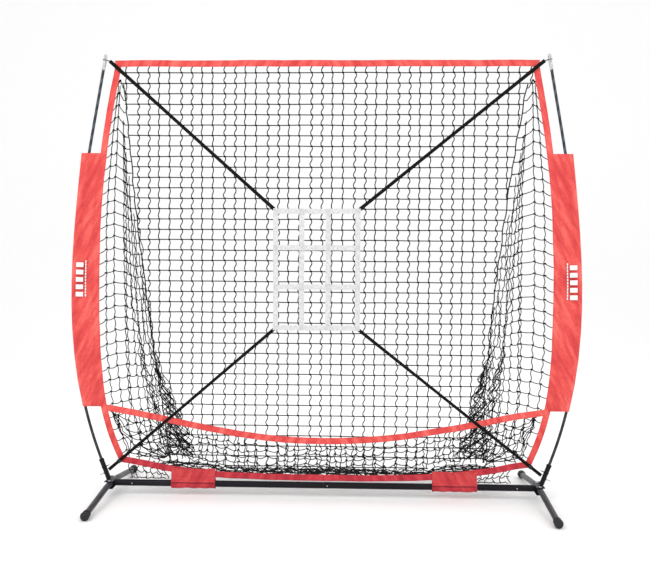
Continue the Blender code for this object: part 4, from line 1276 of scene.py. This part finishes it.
def backdrop():
    """A pale floor that curves up into a wall behind."""
    finish = Finish("studio_floor", (0.98, 0.98, 0.98), 0.9)
    finish.bump(finish.noise(0.02), 0.0001)
    near, far, half, bend, top = -9.0, 5.0, 12.0, 2.5, 9.0
    turn = np.linspace(0, math.pi / 2, 12)
    curve = [(0.0, far + bend * math.sin(a), bend - bend * math.cos(a)) for a in turn]
    section = np.array([(0.0, near, 0.0), *curve, (0.0, far + bend, top)])
    grid = np.array([section + ACROSS * x for x in (-half, half)])
    faces, _, _ = grid_faces(*grid.shape[:2], wrap_columns=False)
    mesh = smooth_mesh("studio_floor", grid.reshape(-1, 3), faces, finish.material)
    add_object("studio_floor", mesh)


def studio():
    """The backdrop, soft lights, and the camera."""
    backdrop()
    world = bpy.data.worlds.new("studio_light")
    world.use_nodes = True
    background = world.node_tree.nodes["Background"]
    background.inputs["Color"].default_value = (1.0, 1.0, 1.0, 1.0)
    background.inputs["Strength"].default_value = 0.92
    bpy.context.scene.world = world
    bpy.context.scene.view_settings.view_transform = "Standard"
    lamps = (
        ("key_light", (-2.8, -3.6, 4.2), 3.0, 85.0),
        ("fill_light", (3.4, -3.2, 3.2), 3.5, 50.0),
        ("back_light", (0.5, 3.6, 4.4), 3.0, 45.0),
    )
    for name, place, size, power in lamps:
        lamp = bpy.data.lights.new(name, "AREA")
        lamp.size = size
        lamp.energy = power
        aimed(name, lamp, place, (0, 0, 0.9))
    view = bpy.data.cameras.new("camera")
    view.lens = LENS
    view.clip_end = 60.0
    camera = aimed("camera", view, CAMERA, TARGET)
    camera.rotation_euler.rotate_axis("Z", ROLL)
    bpy.context.scene.camera = camera


def build():
    """Every material, and then every piece."""
    steel = powder_coat("black_powder_coat", (0.008, 0.008, 0.011), shine=0.14)
    grey = powder_coat("grey_powder_coat", (0.034, 0.034, 0.042), shine=0.3)
    zinc = zinc_plate()
    tyre = rubber()
    black_rod = glass_fibre("black_rod", (0.010, 0.010, 0.012), (0.030, 0.030, 0.034))
    slate_rod = glass_fibre("slate_rod", (0.016, 0.021, 0.028), (0.075, 0.095, 0.120))
    clear = pale_plastic()
    plastic = black_plastic()
    red = woven_cloth("red_cloth", (0.74, 0.080, 0.072), (0.84, 0.150, 0.125), (0.60, 0.045, 0.047))
    dark_red = woven_cloth("dark_red_cloth", (0.50, 0.028, 0.046), (0.60, 0.050, 0.062), (0.36, 0.014, 0.028))
    # A dark cord, the painted shadow line under each wrap's flap.
    painted_shadow_line = thread("painted_shadow_cord", (0.15, 0.012, 0.018))
    wrap_red = woven_cloth("wrap_cloth", (0.56, 0.042, 0.050), (0.66, 0.080, 0.078), (0.44, 0.024, 0.035))
    white = webbing("white_webbing", (0.80, 0.80, 0.80), rib=0.0024, relief=0.0005, shine=0.3, edge=0.0234)
    near_black = (0.006, 0.006, 0.006)
    elastic = webbing("black_elastic", near_black, rib=0.0016, relief=0.0003, shine=0.1, edge=0.0134)
    twine = twisted_twine()
    red_thread = thread("red_thread", (0.62, 0.05, 0.05))
    white_thread = thread("white_thread", (0.72, 0.72, 0.72))
    black_thread = thread("black_thread", (0.02, 0.02, 0.02))
    bar_print = print_white()

    cross_bars(steel)
    for name in SIDES:
        carried_over(f"hub_{name}", steel)
        carried_over(f"lock_pin_{name}", zinc)
        carried_over(f"pole_ferrule_{name}", zinc)
    legs(grey, tyre)
    leg_pins(zinc)
    snap_buttons(zinc)
    sockets(steel)
    poles(black_rod, slate_rod, clear)
    bindings(red, dark_red, red_thread)
    sleeves(red, red_thread, bar_print)
    bar_wraps(dark_red, wrap_red, red_thread, painted_shadow_line)
    back_net(twine)
    side_nets(twine)
    pocket_front(twine)
    pocket_floor(twine)
    strike_zone(white, white_thread)
    straps(elastic, black_thread, plastic)
    corner_loops(elastic)


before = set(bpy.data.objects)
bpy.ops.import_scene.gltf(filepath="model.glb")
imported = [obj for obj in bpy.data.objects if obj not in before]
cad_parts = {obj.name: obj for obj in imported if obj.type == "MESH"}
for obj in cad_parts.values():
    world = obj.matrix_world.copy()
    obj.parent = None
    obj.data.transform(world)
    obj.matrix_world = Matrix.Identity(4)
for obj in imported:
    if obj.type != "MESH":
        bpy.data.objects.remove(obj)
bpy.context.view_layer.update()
studio()
build()
